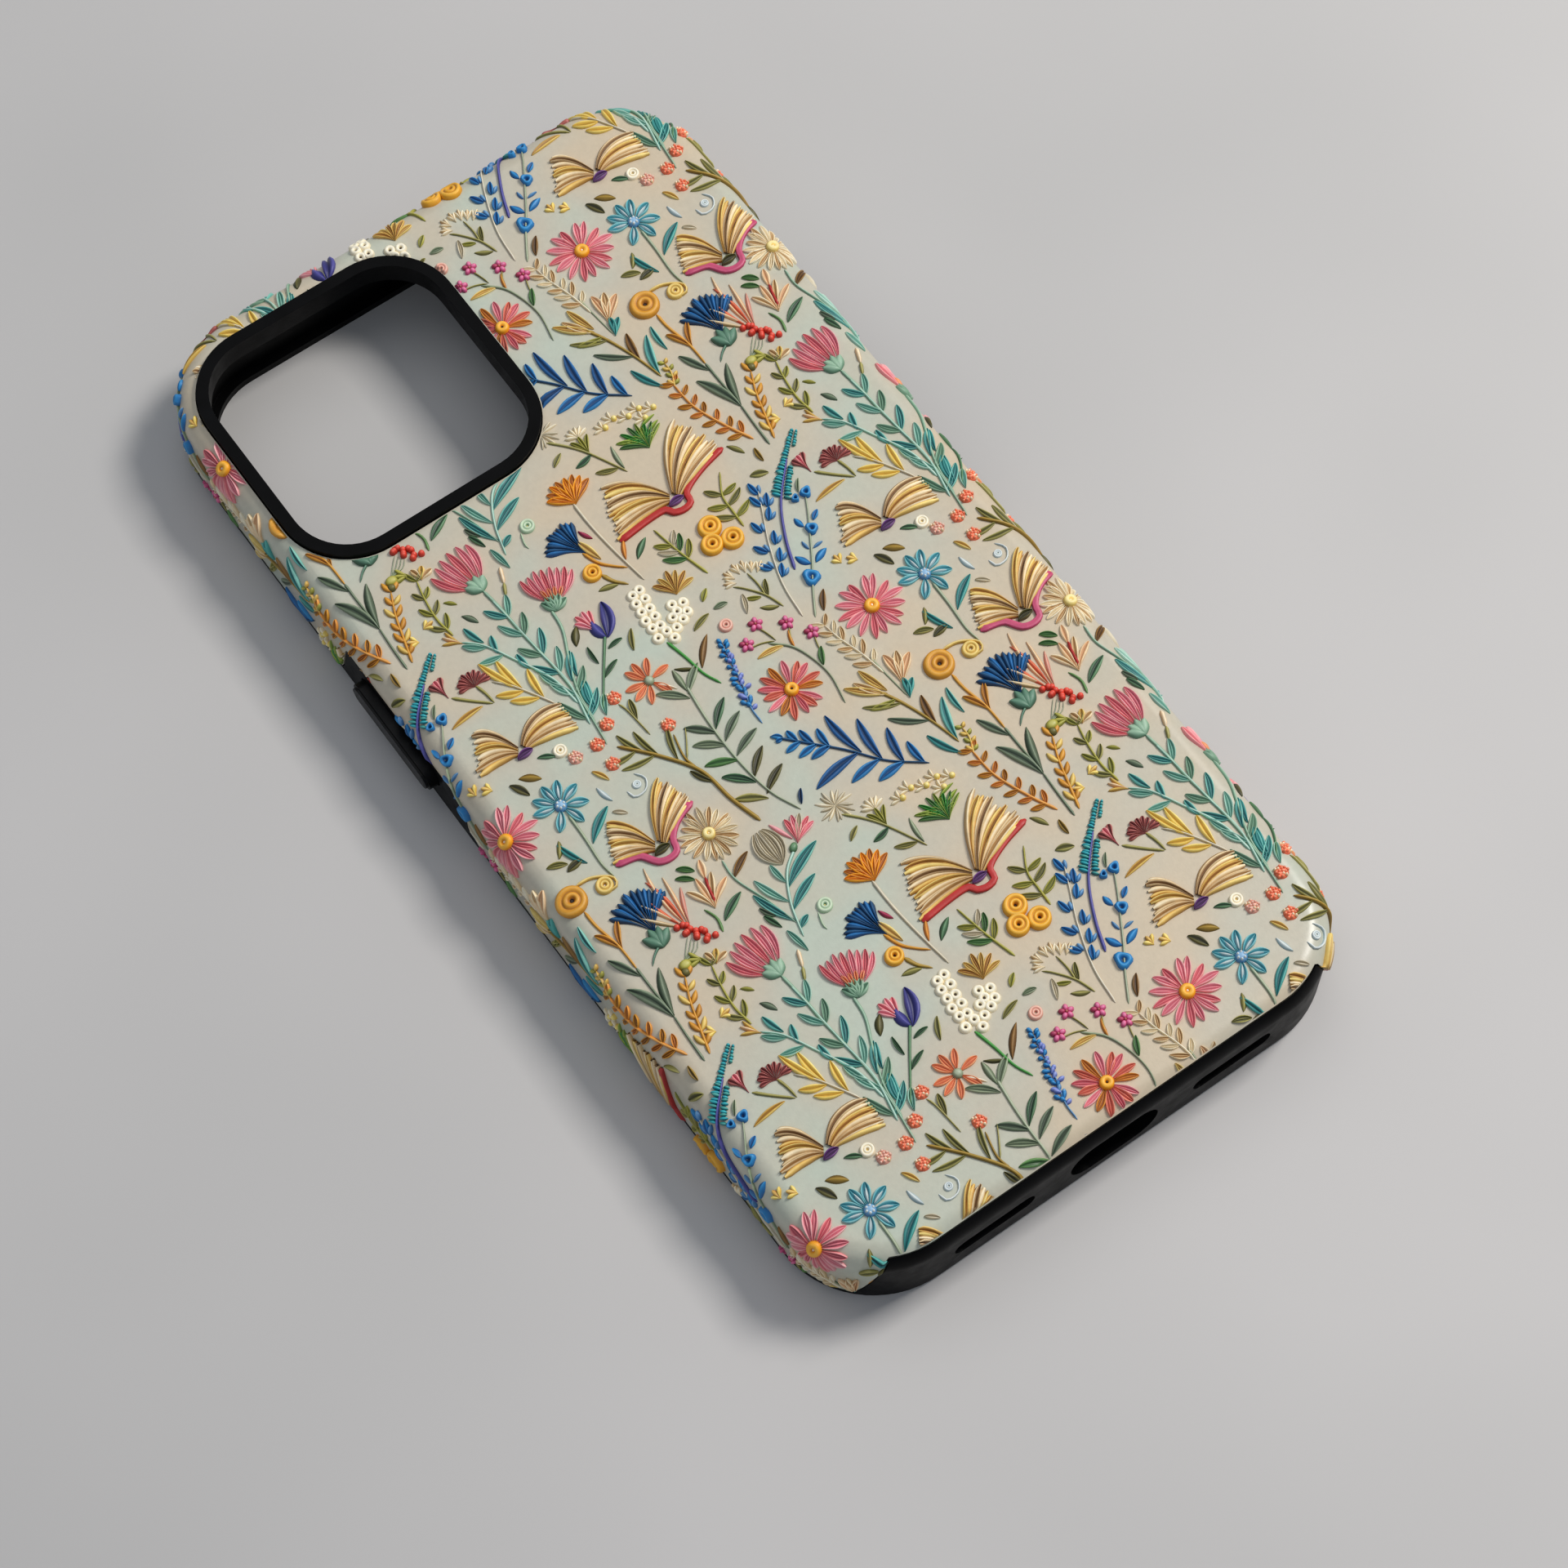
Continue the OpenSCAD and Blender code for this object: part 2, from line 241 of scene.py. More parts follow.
BUTTON = [(0, 1, 1), (.35, .97, 1), (.65, .8, .85), (.88, .45, .6), (1, -.2, .4)]
COIL = [(0, .1, .1), (.13, .12, .1), (.2, .7, .6), (.33, .95, 1), (.46, .8, .75), (.52, .6, .35),
    (.58, .8, .75), (.76, 1, 1), (.92, .7, .75), (1, -.15, .5)]
RING = [(.2, -.1, .4), (.26, .55, .8), (.5, 1, 1), (.78, .75, .8), (1, -.15, .5)]


def polar(x, y, r, angle):
    """The point at distance r from (x, y) in the direction angle."""
    return x + r * math.cos(math.radians(angle)), y + r * math.sin(math.radians(angle))


def dot(ink, x, y, r, high=0.4, squash=1.0, angle=0.0, n=12):
    lathe(ink, x, y, r, BUTTON, high, n, squash, angle)


def coil(ink, x, y, r, high=0.62, eye="ink_dark"):
    """A rolled strip seen end on, with a dark eye."""
    lathe(ink, x, y, r, COIL, high, 28, 0.95, 30, 0.05)
    dot(eye, x, y, r * 0.17, 0.14, n=10)


def poppy(ink, x, y, r):
    """A small cupped flower with three lobes and a dark hollow."""
    cup = [(0, .2, .1), (.22, .25, .1), (.36, .6, .5), (.6, 1, 1), (.84, .85, .8), (1, -.2, .4)]
    lathe(ink, x, y, r, cup, 0.75, 20, 0.9, rng.uniform(0, 120), lobes=3)
    dot("ink_dark", x, y, r * 0.16, 0.2, n=8)


def daisy(x, y, r, petals, inks_used, heart="orange_bright", eye="cream", n=14, wide=None):
    """An open flower: a ring of hollow petals over a shorter one, with a raised heart."""
    wide = wide or 2.4 * math.pi * r / n * 0.5
    turn = 360 / n
    for k in range(n):
        a = k * turn + rng.uniform(-5, 5)
        long = r * rng.uniform(0.9, 1.06)
        leaf(inks_used[k % len(inks_used)], *polar(x, y, 0.6, a), a,
             long - 0.6, wide * rng.uniform(.85, 1.1), petals, rng.uniform(-.04, .04), 0.48, 0.62)
    lathe(heart, x, y, r * 0.235, [(0, .5, .5), (.2, .55, .6), (.32, .95, 1), (.7, 1, 1), (.92, .6, .7),
        (1, -.2, .5)], 0.8, 18)
    dot(eye, x, y, r * 0.055, 0.6)


def fan(ink, x, y, angle, spread, n, length, width, section=CUP, crown=0.0, high=0.45, tip=0.66, flare=0.06,
        base=0.0):
    """Petals or leaves that spread from a base line or from one point; crown lengthens the middle ones."""
    several = [ink] if isinstance(ink, str) else ink
    for k in range(n):
        s = (k / (n - 1) - 0.5) * 2 if n > 1 else 0.0
        foot = (x - base / 2 * s * math.sin(math.radians(angle)),
            y + base / 2 * s * math.cos(math.radians(angle)))
        leaf(several[k % len(several)], *foot, angle + s * spread / 2 + rng.uniform(-2, 2),
            length * (1 - crown * s * s) * rng.uniform(.95, 1.05), width, section, -flare * s, high, tip,
            lift=0.04 * (k % 2))


def pompom(ink, x, y, r):
    """A round head of small beads."""
    lathe(ink, x, y, r, BUTTON, 0.4, 16)
    for k in range(15):
        a, d = k * 2.39996, r * 0.88 * math.sqrt((k + 0.4) / 15)
        lathe("peach" if k % 4 == 2 else ink, x + d * math.cos(a), y + d * math.sin(a), r * 0.24, BUTTON,
            0.68 - 0.16 * (d / r) ** 2, 8)


def sprig(stalk, foliage, points, leaves, length, width, spread=45, section=CREASE, w=0.4, taper=0.35, side=0,
        start=0.12, end=1.0):
    """A stalk with pairs of leaves along it. side 1 or -1 keeps only one side."""
    stem(stalk, points, w, 0.34, 0.6)
    path = curve(points, 60)
    for k in range(leaves):
        i = int(59 * (start + (end - start) * k / max(leaves - 1, 1)))
        j = min(i + 1, 59)
        d = path[j] - path[j - 1]
        along = math.degrees(math.atan2(d[1], d[0]))
        size = 1 - taper * k / max(leaves - 1, 1)
        for s in (1, -1):
            if side in (0, s):
                ink = foliage if isinstance(foliage, str) else foliage[(k + (s > 0)) % len(foliage)]
                leaf(ink, *path[i], along + s * spread + rng.uniform(-5, 5),
                    length * size * rng.uniform(.88, 1.1), width * size ** .5, section, 0.06 * s, 0.42, 0.5)


def pages(x, y, low, high_end, hump, strips, leaves, wide):
    """One side of an open book: curved strips of paper from the spine to the outer edge."""
    for k in range(strips):
        t = k / (strips - 1)
        end = (np.array(low) + (np.array(high_end) - np.array(low)) * t) * rng.uniform(.95, 1.03)
        foot = np.array([math.copysign(0.75 - 0.5 * t, low[0]), 0.5 + 0.9 * t])
        knee = foot * 0.6 + end * 0.4 + np.array([0, hump * (0.25 + 0.75 * t)])
        s = np.linspace(0, 1, 18)[:, None]
        path = np.array([x, y]) + (1 - s) ** 2 * foot + 2 * s * (1 - s) * knee + s ** 2 * end
        width = wide * (0.35 + 0.65 * smooth(s[:, 0] * 2.2)) * (1 - 0.55 * smooth((s[:,
            0] - .86) / .14)) * rng.uniform(.85, 1.1)
        # Painted shading scaled from 0.5 at the spine to 1 at the outer edge: painted shade deepening toward
        # the spine.
        ribbon(leaves[k % len(leaves)], path, width, 0.34 + 0.1 * math.sin(k * 1.9)
            + 0.5 * np.sin(math.pi * np.clip(s[:, 0], 0.02, 0.98)) ** 0.5 * 0.5, (DOME, CREASE, FOLD)[k % 3],
            0.07 * (k % 2), (0.5, 1.0))


def book(x, y, left, right, cover, leaves, clasp="violet", strips=8, wide=0.95, hump=3.0):
    """An open book on its spine. left and right hold the lower and upper ends of each outer edge."""
    if cover:
        (lx, ly), (rx, ry) = left[0], right[0]
        line = [(x + lx, y + ly - .35), (x + lx * .5, y + ly * .5 + .05), (x - 1.9, y - .05),
            (x - 1.2, y - .95), (x + .1, y - 1.35), (x + 1.4, y - .95), (x + 1.9, y + .6),
            (x + rx * .55, y + ry * .5 + .35), (x + rx, y + ry - .3)]
        stem(cover, line, 1.15, 0.5, 0.9, BAND)
    pages(x, y, *left, hump, strips, leaves, wide)
    pages(x, y, *right, hump, strips, leaves[::-1], wide)
    leaf(clasp, x - 1.15, y + 0.02, 4, 2.3, 1.1, CUP, 0.05, 0.62, 0.5, lift=0.1)


def loose(*placed):
    """Single leaves: ink, x, y, angle, length, width."""
    for ink, x, y, angle, length, width in placed:
        leaf(ink, x, y, angle, length, width, (CREASE, FOLD, CUP)[int(abs(x * 7 + y * 3)) % 3], 0.05, 0.4, 0.5)


def leaves(section, bend, *placed):
    """Leaves of one section: x, y, angle, length, width, ink."""
    for x, y, angle, length, width, ink in placed:
        leaf(ink, x, y, angle, length, width, section, bend)


# ---------------------------------------------------------------- one repeat of the print
def draw_books():
    """Open books."""
    page_tones = ["page_gold", "page_cream", "page_tan", "page_cream", "page_yellow"]
    book(4.8, 20.9, ((-8.9, -.1), (-6.6, 7.0)), ((9.1, 3.4), (6.4, 9.8)), "crimson", page_tones, "violet", 12,
        .82)
    book(24.2, 3.0, ((-6.3, .9), (-3.6, 6.4)), ((7.2, -.6), (7.2, 3.6)), None, page_tones, "violet", 9, .78,
        2.6)
    book(30.4, -16.9, ((-5.7, 2.0), (-3.6, 7.0)), ((6.6, 3.6), (5.0, 8.2)), "magenta", page_tones,
        "olive_deep", 11, .76, 2.2)


def draw_daisies():
    """Open daisies and stars."""
    daisy(15.9, -4.8, 4.4, CUP, ["pink", "rose", "pink"], n=15)
    daisy(1.2, -8.4, 4.05, CUP, ["coral", "rose", "coral", "pink", "orange"], eye="ink_dark", n=15)
    daisy(-18.1, -18.3, 3.7, CUP, ["cream", "page_cream"], heart="page_yellow", eye="page_cream", n=19,
        wide=.85)
    for a in (64, 22, -24, -70, -126, 166, 134, 98):
        leaf("teal_sky", *polar(23.8, -5, .4, a), a, 3.1, 1.35, CUP, .03, .5, .6)
        leaf("frost_blue", *polar(23.8, -5, .9, a), a, 1.9, .55, FOLD, .03, .5, .5)
    dot("blue_soft", 23.8, -5, .85, .75, n=16)
    for a in range(0, 360, 60):
        dot("frost_blue", *polar(23.8, -5, .45, a), .24, .85)
    stem("sage", [(23.9, -6.4), (23.8, -10), (23.5, -14), (23.8, -16.2)], .6)
    for a in (98, 62, 125, 8, -62, -118, 172, 205):
        leaf("apricot", *polar(-12.2, 2.6, .4, a), a, 2.8, 1.0, CUP, .02, .45, .6)
    dot("sage", -12.2, 2.6, .7, .7, n=14)
    stem("cream", [(-11.6, 1.7), (-10.6, .6), (-10, -.2)], .4)


def draw_fans():
    """Flowers that open like a fan, most on a green cup."""
    fan(["pink", "pink", "rose"], 32.2, 25.9, 102, 44, 6, 5.6, 1.12, CUP, .1, .5, .6, -.1, 2.3)
    fan("sage_mint", 32.5, 24.5, 100, 84, 4, 2.5, 1.5, DOME, .1, .62, .5)
    stem("sage_mint", [(32.5, 24.6), (32.9, 21), (33.1, 17), (33.6, 12), (33.8, 6), (33.2, 0), (33, -1.4)], .6)
    fan("apricot", -15.3, 18.4, 72, 50, 4, 1.8, .5, CREASE, 0, .62, .6, .06, 1.4)
    fan(["pink", "rose", "pink"], -15.2, 18.6, 72, 66, 8, 4.4, .86, CUP, .06, .5, .62, -.08, 2.2)
    fan("sage_mint", -15.9, 17.0, 72, 96, 5, 2.5, 1.2, CREASE, .1, .6, .5)
    stem("sage_mint", [(-16.4, 17.6), (-16.8, 14.5), (-18.4, 10.8), (-20, 6.5), (-20.6, 2)], .6)
    fan(["navy", "navy_light", "navy"], 23.6, -25, 84, 84, 13, 6.0, .95, FOLD, .06, .62, .82)
    fan("pine_mint", 23.3, -27.2, 84, 84, 4, 2.9, 1.5, DOME, .1, .7, .5)
    stem("pine_mint", [(23.2, -26.6), (21.9, -27.4), (20.9, -28.4)], .55, thin=.4)
    fan(["navy", "navy_light", "navy"], -8.4, 21.6, 116, 70, 11, 5.2, .9, FOLD, .06, .6, .82)
    stem("ochre", [(-8.8, 21.8), (-8, 19.6), (-6.6, 18), (-5.4, 17)], .7, thin=.45)
    leaf("page_yellow", -7.4, 19.8, 106, 3.9, 1.1, CREASE)
    fan(["orange", "orange_bright"], -5.5, 28, 88, 112, 8, 4.2, 1.15, CUP, .1, .5, .6)
    stem("pearl", [(-5.8, 28.2), (-5.8, 24.4), (-5.4, 19.6), (-4.7, 14.4)], .6)
    fan(["page_yellow", "page_gold"], -2.6, 10.4, 70, 110, 6, 3.4, .75, CUP, .1)
    fan(["rose", "pink"], -13.4, 11.5, 102, 46, 4, 3.8, .85, CREASE, .1, .45, .76)
    leaf("indigo", -13.0, 10.5, 96, 3.0, 1.6, FOLD, .12, .6, .5)
    leaf("indigo", -12.9, 10.4, 66, 5.0, 2.0, CREASE, -.1, .68, .52)
    stem("pine", [(-12.9, 11), (-15.2, 7.9), (-17.4, 4.8), (-19, 2.6)], .55)
    fan(["pink", "rose", "pearl"], -10.1, -25.4, 52, 66, 5, 3.8, .85, CUP, .1)
    dot("pine", -10.9, -25.6, .75, .6, .7, 40)
    leaf("pink", -10.3, -24.6, 112, 3.4, .6, DOME)
    for bend in (.22, .07, -.1, -.22):
        leaf("pearl", -13.2, -26.6, 90 + bend * 30, 5.2, .95, CUP, bend, .5, .55)
    fan(["wine", "rose"], 20.9, 14.8, 96, 34, 3, 3.0, .9, CREASE, .0, .5, .85)
    stem("olive", [(21.2, 14.6), (22.9, 12.9), (24.9, 11.1)], .6)
    fan("wine", 24.4, 14.2, 84, 170, 9, 2.3, .62, CREASE, .08, .5, .8)
    stem("olive", [(24.5, 14.3), (24.9, 12.8), (25.1, 11.1)], .6)
    fan(["peach", "page_cream"], 12.6, -15.8, 66, 40, 3, 5.0, 1.35, CUP, .05)
    fan("teal", 12.3, -17.6, 62, 26, 2, 2.8, 1.0, CREASE, .0, .55, .6)
    stem("sage", [(11.6, -10.4), (11.8, -13), (12.2, -17.2)], .35, .2)


def draw_coils():
    """Rolled-paper coils."""
    coil("ochre", 17.9, -16.0, 2.1, .75)
    stem("gold_pale", [(19.3, -14.7), (21.4, -14.9), (23.5, -16.2), (23.4, -17.4), (22.2, -17.6)], .6, .5)
    coil("gold_pale", 22.2, -16.6, 1.2, .6, "cream")
    stem("ochre", [(18.3, -18), (18.4, -20.4), (19.1, -24), (19.2, -27.6)], .6)
    fan("ochre", 19.2, -24.8, 92, 50, 2, 4.0, .9, CREASE)
    for x, y, r in ((6.1, 15.7, 1.65), (4.9, 13.5, 1.55), (7.5, 12.8, 1.6)):
        coil("gold", x, y, r, .8)
    coil("gold", -9.4, 18.8, 1.3, .72)
    stem("olive_gold", [(-8.6, 18), (-7.9, 16.4), (-6.6, 15)], .9, thin=.4)
    coil("mint_pale", -12.2, 28.9, 1.05, .5, "page_yellow")
    stem("mint_pale", [(-13.4, 28.6), (-13.9, 27), (-13.8, 26.2)], .35)
    coil("pink_pale", -.2, 3.4, .95, .5, "sage")
    coil("cream", 27.9, 1.1, .95, .5, "page_yellow")


def draw_bells():
    """The cream column of small rings."""
    ring_at = [(-7.2, 13.3), (-6.1, 13.5), (-7.5, 12.1), (-6.2, 12.1), (-7.6, 10.8), (-6.5, 10.7),
        (-7.9, 9.5), (-6.6, 9.4), (-7.8, 8.2), (-6.8, 8.0), (-8, 6.7), (-6.6, 6.9), (-6.3, 5.6), (-5.3, 6.6),
        (-4.9, 8.0), (-4.0, 9.5), (-2.7, 9.0), (-4.0, 7.1), (-3.0, 7.7), (-4.0, 8.4)]
    for x, y in ring_at:
        lathe("cream", x, y, .84, RING, .5, 16)
        dot("ink_dark", x, y, .17, .16, n=8)
    stem("green_bright", [(-7.4, 5.7), (-6.7, 2.6), (-6.2, -.4), (-5.2, -2.7)], .6)
    loose(("olive_deep", -6.6, .8, 148, 2.6, .6), ("brown", -5.9, .3, 48, 4.7, 1.0))


def draw_blue_spikes():
    """Blue spikes."""
    stem("pearl", [(8.2, -1), (8.8, 4), (10.6, 9.4), (12.6, 13.6), (14.2, 17)], .38)
    for x, y, a in ((13.6, 16, 95), (13.0, 14.4, 105), (13.6, 13.9, 60), (12.6, 12.2, 55), (10.9, 11.3, 100),
            (9.8, 8.6, 120), (11.3, 9.0, 62), (8.9, 6.4, 125), (10.4, 6.7, 58), (9.4, 4.8, 60)):
        leaf("blue", x, y, a, 2.0, .9, CREASE, .04, .5, .45)
        leaf("blue_soft", x + .3, y, a - 28, 1.2, .55, DOME, 0, .55, .5)
    stem("sage", [(9.4, -2), (11.6, 1.6), (13.4, 4.2), (15.4, 7.4), (17.2, 10.4), (18.4, 12.6)], .42)
    for x, y, r in ((12.2, 2.7, 1.2), (16.2, 8.2, .85), (18.6, 12.8, .8), (17, 12.8, .55)):
        poppy("blue", x, y, r)
    loose(("blue", 15.6, 9, 100, 1.7, .9), ("blue", 17.1, 9.1, 35, 1.6, .8),
        ("blue", 13.3, 4.3, 118, 2.2, 1.1), ("blue", 13.9, 4.1, 22, 2.4, 1.1),
        ("blue_soft", 14.3, 6.1, 95, 1.4, .5), ("blue_soft", 14.8, 5.9, 5, 1.5, .5),
        ("sage", 17.9, 13.4, 55, 2.0, .5))
    stem("indigo", [(11.2, 4.8), (12.8, 9), (15.4, 13.6), (19.6, 18.2)], .62, .45)
    for k in range(24):
        s = k / 23
        x, y, size = 15.9 + 6.6 * s, 14.0 + 6.8 * s ** .92, rng.uniform(1.25, 1.6) * (1 - .62 * s)
        leaf(("teal_bright", "teal", "teal_bright")[k % 3], x, y, 128 + rng.uniform(-9, 9), size, .46, DOME,
            0, .5, .5, .04 * (k % 2))
        if k < 11 or k > 17:
            leaf(("teal", "teal_bright")[k % 2], x + .1, y - .1, -44 + rng.uniform(-9, 9), size * .72, .46,
                DOME, 0, .5, .5)
    stem("blue_soft", [(-4.3, -10), (-4.2, -7.4), (-3.2, -4.2), (-2.1, 1.6)], .32)
    for k in range(34):
        s = k / 33
        x, y = -4.3 + 2.3 * s + rng.uniform(-.25, .25), -7.8 + 9.4 * s
        ink = ("blue", "blue_soft", "blue_mid", "periwinkle")[rng.integers(4)]
        leaf(ink, x, y, 72 + (1 if k % 2 else -1) * rng.uniform(20, 75), rng.uniform(.7, 1.35) * (1 - .3 * s),
            .62, DOME, 0, .5, .6, lift=.03 * (k % 3))


def draw_blue_fern():
    """The blue fern."""
    rib = [(-4.6, -12.0), (-1.6, -15.2), (1.8, -18.8), (5, -22.8), (9, -26)]
    stem("navy", rib, .4, .4)
    for x, y, angle, length, width, ink in ((-3.6, -13.2, 172, .9, .6, "blue"),
            (-2.2, -14.6, 100, 2.1, 1.0, "blue_mid"), (-2, -14.8, 184, 2.3, .9, "blue_mid"),
            (-.8, -16, 100, 2.7, 1.0, "blue_mid"), (-.6, -16.2, 184, 2.8, 1.0, "blue_mid"),
            (.5, -17.3, 88, 2.9, 1.0, "blue_mid"), (.7, -17.3, 182, 3.0, 1.1, "blue_mid"),
            (3.2, -20.1, 97, 6.6, 1.2, "navy_light"), (3.0, -20, 188, 7.2, 1.5, "navy_light"),
            (4.7, -22.4, 84, 6.3, 1.3, "navy_light"), (4.5, -22.2, 187, 4.7, 1.3, "blue_mid"),
            (6.6, -24.3, 79, 5.2, 1.2, "navy_light"), (6.6, -24.2, 184, 4.0, 1.4, "blue_mid"),
            (8.6, -25.8, 92, 3.7, 1.0, "blue_mid"), (-4.6, -12.1, -38, 1.5, .7, "blue_mid")):
        leaf(ink, x, y, angle, length, width, CREASE, .05 if angle < 150 else -.05, .5, .55)


def draw_green_fern():
    """The green fern."""
    stem("sage", [(-8.9, -.5), (-9.5, -6), (-9.6, -12), (-8.9, -17.8), (-7.2, -22)], .55, thin=.5)
    for k, (y, a) in enumerate(((-1.6, 40), (-7.4, 42), (-9.4, 32), (-11.8, 22), (-15.4, 42), (-18, 30))):
        leaf(("sage", "pine", "pine_grey", "pine_grey", "olive_deep", "olive_deep")[k], -9.3, y, a, 4.4, 1.15,
            CREASE, .05)
        leaf(("sage", "pine_grey", "sage", "green", "pine", "olive")[k], -9.5, y - .6, 180 - a - 2, 4.2, 1.15,
            CREASE if k % 2 else CUP, -.05)
    leaf("sage", -9.2, -1.2, 88, 3.4, 1.0, FOLD)
    loose(("navy", -6.7, -21.5, 58, 2.1, .6), ("brown", -18.9, -24.7, 30, 3.8, 1.0))


def draw_olive_branches():
    """Branches in olive and gold."""
    stem("olive_gold", [(-12, -20.4), (-13.2, -16), (-14, -11), (-16.8, -6.6), (-20.4, -2.4)], .75, .45, .7)
    stem("olive_gold", [(-14.2, -10.4), (-14.6, -8.2), (-13.9, -5)], .5)
    stem("olive", [(-14.4, -8.6), (-13, -6.4), (-12.2, -5)], .35)
    for x, y, angle, length in ((-16.9, -6.4, 100, 4.6), (-18, -5.2, 112, 4.4), (-17.2, -6, 172, 4.6),
            (-13.6, -13, 118, 3.2), (-15.4, -8.2, 72, 5.0), (-18.8, -4.2, 178, 4.0)):
        leaf("olive" if length > 3.5 else "olive_deep", x, y, angle, length, .8, CREASE, .05)
    for x, y, ink in ((-13.7, -3.6, "tomato"), (-17, 3.2, "tomato"), (-19.7, .8, "tomato"),
            (-22.2, -.8, "tomato"), (-22.1, -4, "tomato"), (-25.3, -.7, "pink_pale")):
        pompom(ink, x, y, .95)
    stem("olive", [(-17, 2.2), (-16.6, .8), (-16.2, -3.4)], .35)
    leaf("olive", -16.3, -.8, 76, 2.9, .9, CUP)
    sprig("orange", ["orange", "ochre"], [(17.8, 22.8), (16.2, 26), (14.4, 30.8), (14.1, 35)], 7, 1.9, .75,
        52, CUP, .55, .1)
    sprig("gold_pale", ["olive_lime", "gold_pale"], [(14.1, 34.6), (14.9, 36.6), (15, 38.2)], 4, 1.0, .6, 50,
        DOME, .45, .1)
    stem("pine_grey", [(19, 21), (19.1, 24.4), (19.3, 27.8)], .5)
    leaf("pine_grey", 19.2, 27.6, 112, 6.6, 1.5, CREASE, -.06, .5)
    leaf("pine_grey", 19.4, 27.7, 72, 6.4, 1.3, FOLD, .05, .5)
    stem("pine_grey", [(19.2, -27.4), (19.2, -31), (19.3, -35)], .5)
    leaf("pine_grey", 19, -28.6, 117, 4.4, 1.1, CREASE)
    sprig("ochre", ["ochre", "gold_pale", "ochre"], [(20, 21.4), (20.9, 24.6), (21.9, 28), (23.2, 31)], 6,
        1.9, .8, 34, DOME, .6, .1)
    dot("olive_lime", 24.1, 32.2, .9, .6, .8)
    dot("olive_deep", 23.6, 31.4, .6, .6)
    for k in range(4):
        stem("sage", [(24.3, 32.6), (25.4 + .3 * k, 33.9 - .3 * k), (26.4 + .25 * k, 35 - .35 * k)], .18, .2)
    sprig("olive_lime", ["olive_lime", "olive"], [(26.1, 21.6), (25.7, 24.4), (26, 27.6), (26.6, 30.4)], 4,
        2.3, .8, 40, CREASE, .5, .2)
    fan(["page_cream", "gold_pale"], 27.2, 30.2, 60, 90, 3, 1.9, .9, CREASE)
    fan(["olive_lime"], 26.2, 31.6, 150, 60, 3, 1.9, .6, DOME)


def draw_berries():
    """Strands with red berries."""
    for k, (dx, angle, length, ink) in enumerate(((0, 96, 7.4, "tomato"), (-.3, 118, 6.2, "peach"),
            (.3, 82, 6.8, "peach"), (-.5, 132, 5.2, "page_cream"), (.5, 68, 4.8, "pink_pale"),
            (-.2, 108, 5.4, "tomato"), (.1, 90, 9.0, "peach"))):
        leaf(ink, 27.1 + dx, -26.4, angle, length, .62, FOLD, -.05 + .02 * k, .42, .6)
    for k in range(14):
        dot("red", 26.2 + .19 * k + .55 * math.cos(k * 2.4), -26.2 - .24 * k + .55 * math.sin(k * 2.4), .46,
            .75)
    fan(["peach", "page_cream"], 31.2, -26.6, 74, 78, 4, 4.6, .95, CREASE, .1)
    stem("crimson", [(31.6, -26), (32, -24.2), (32.5, -22.6)], .6, .55, .9)
    leaf("peach", 32.4, -22.8, 72, 2.6, 1.1, CREASE)
    stem("green", [(30.2, -29.6), (30.6, -27.8), (30, -26)], .6)
    loose(("pine", 31.2, -28.6, 28, 4.2, 1.2), ("green", 29.4, -20.8, -36, 2.4, .7),
        ("green", 30.2, -19.8, -40, 2.3, .8))


def draw_mint_branches():
    """Branches in mint and teal."""
    sprig("mint", ["teal_mid", "sage_mint", "mint"], [(32.9, 2), (33.9, 8), (33.4, 13.6), (33, 19),
        (32.6, 23)], 6, 4.2, 1.15, 34, CUP, .5, .25, 0, .05, .86)
    stem("mint", [(33.3, 5.2), (32.6, 9.8), (30.4, 14.4), (28.4, 18.2), (26.4, 20.2)], .5)
    for x, y, angle, length, ink in ((33, 8, 112, 3.4, "mint"), (31.2, 12.4, 96, 2.6, "teal_mid"),
            (29.6, 15.8, 168, 3.2, "mint"), (29.2, 16.4, 76, 2.6, "teal_mid"), (28.4, 17.8, 140, 3.0, "mint"),
            (28.6, 18.6, 108, 3.2, "teal_mid"), (34.4, 8, 60, 4.2, "teal_mid"), (34.6, 3.2, 74, 4.2, "teal"),
            (35.2, 1.8, 62, 3.0, "mint")):
        leaf(ink, x, y, angle, length, 1.0, CUP if ink == "mint" else CREASE, .05)
    fan(["gold_pale", "peach"], 26.4, 20, 130, 40, 3, 2.6, .55, FOLD)
    stem("mint", [(-10.9, -25.8), (-13.4, -27.8), (-15.4, -31.4), (-16.6, -35.6)], .55)
    leaves(CUP, .05, (-14.4, -29.5, 26, 7.0, 1.5, "teal_mid"), (-15.6, -32.2, 26, 5.4, 1.3, "teal_mid"),
        (-16.3, -34.6, 28, 2.0, .9, "teal_mid"), (-14.2, -28.8, 96, 3.0, .9, "mint"),
        (-15.4, -31, 112, 5.0, 1.1, "mint"), (-16.2, -33.4, 112, 6.0, 1.1, "teal_mid"))
    stem("sage_mint", [(-18.8, -22), (-18.9, -25), (-17.4, -29.4), (-16.3, -33.6)], .4)
    leaf("mint", -17.2, -37.4, 100, 3.6, .9, CUP)
    leaf("pine", -18, -33.2, 112, 2.6, .8, CREASE)
    leaves(CREASE, .06, (22.2, -13, 112, 4.4, .9, "teal"), (24.2, -11.3, 36, 5.2, 1.3, "teal"),
        (16.5, -23, 88, 4.0, .8, "teal_mid"), (13.6, -25.6, 72, 6.2, 1.3, "teal_mid"),
        (13, -27.2, 116, 4.8, 1.0, "teal"), (-18.9, 8.2, 68, 3.4, .9, "teal"),
        (-19.8, 3.6, 74, 3.9, 1.2, "teal"), (25.1, 1.9, -30, 2.2, .7, "pine"))


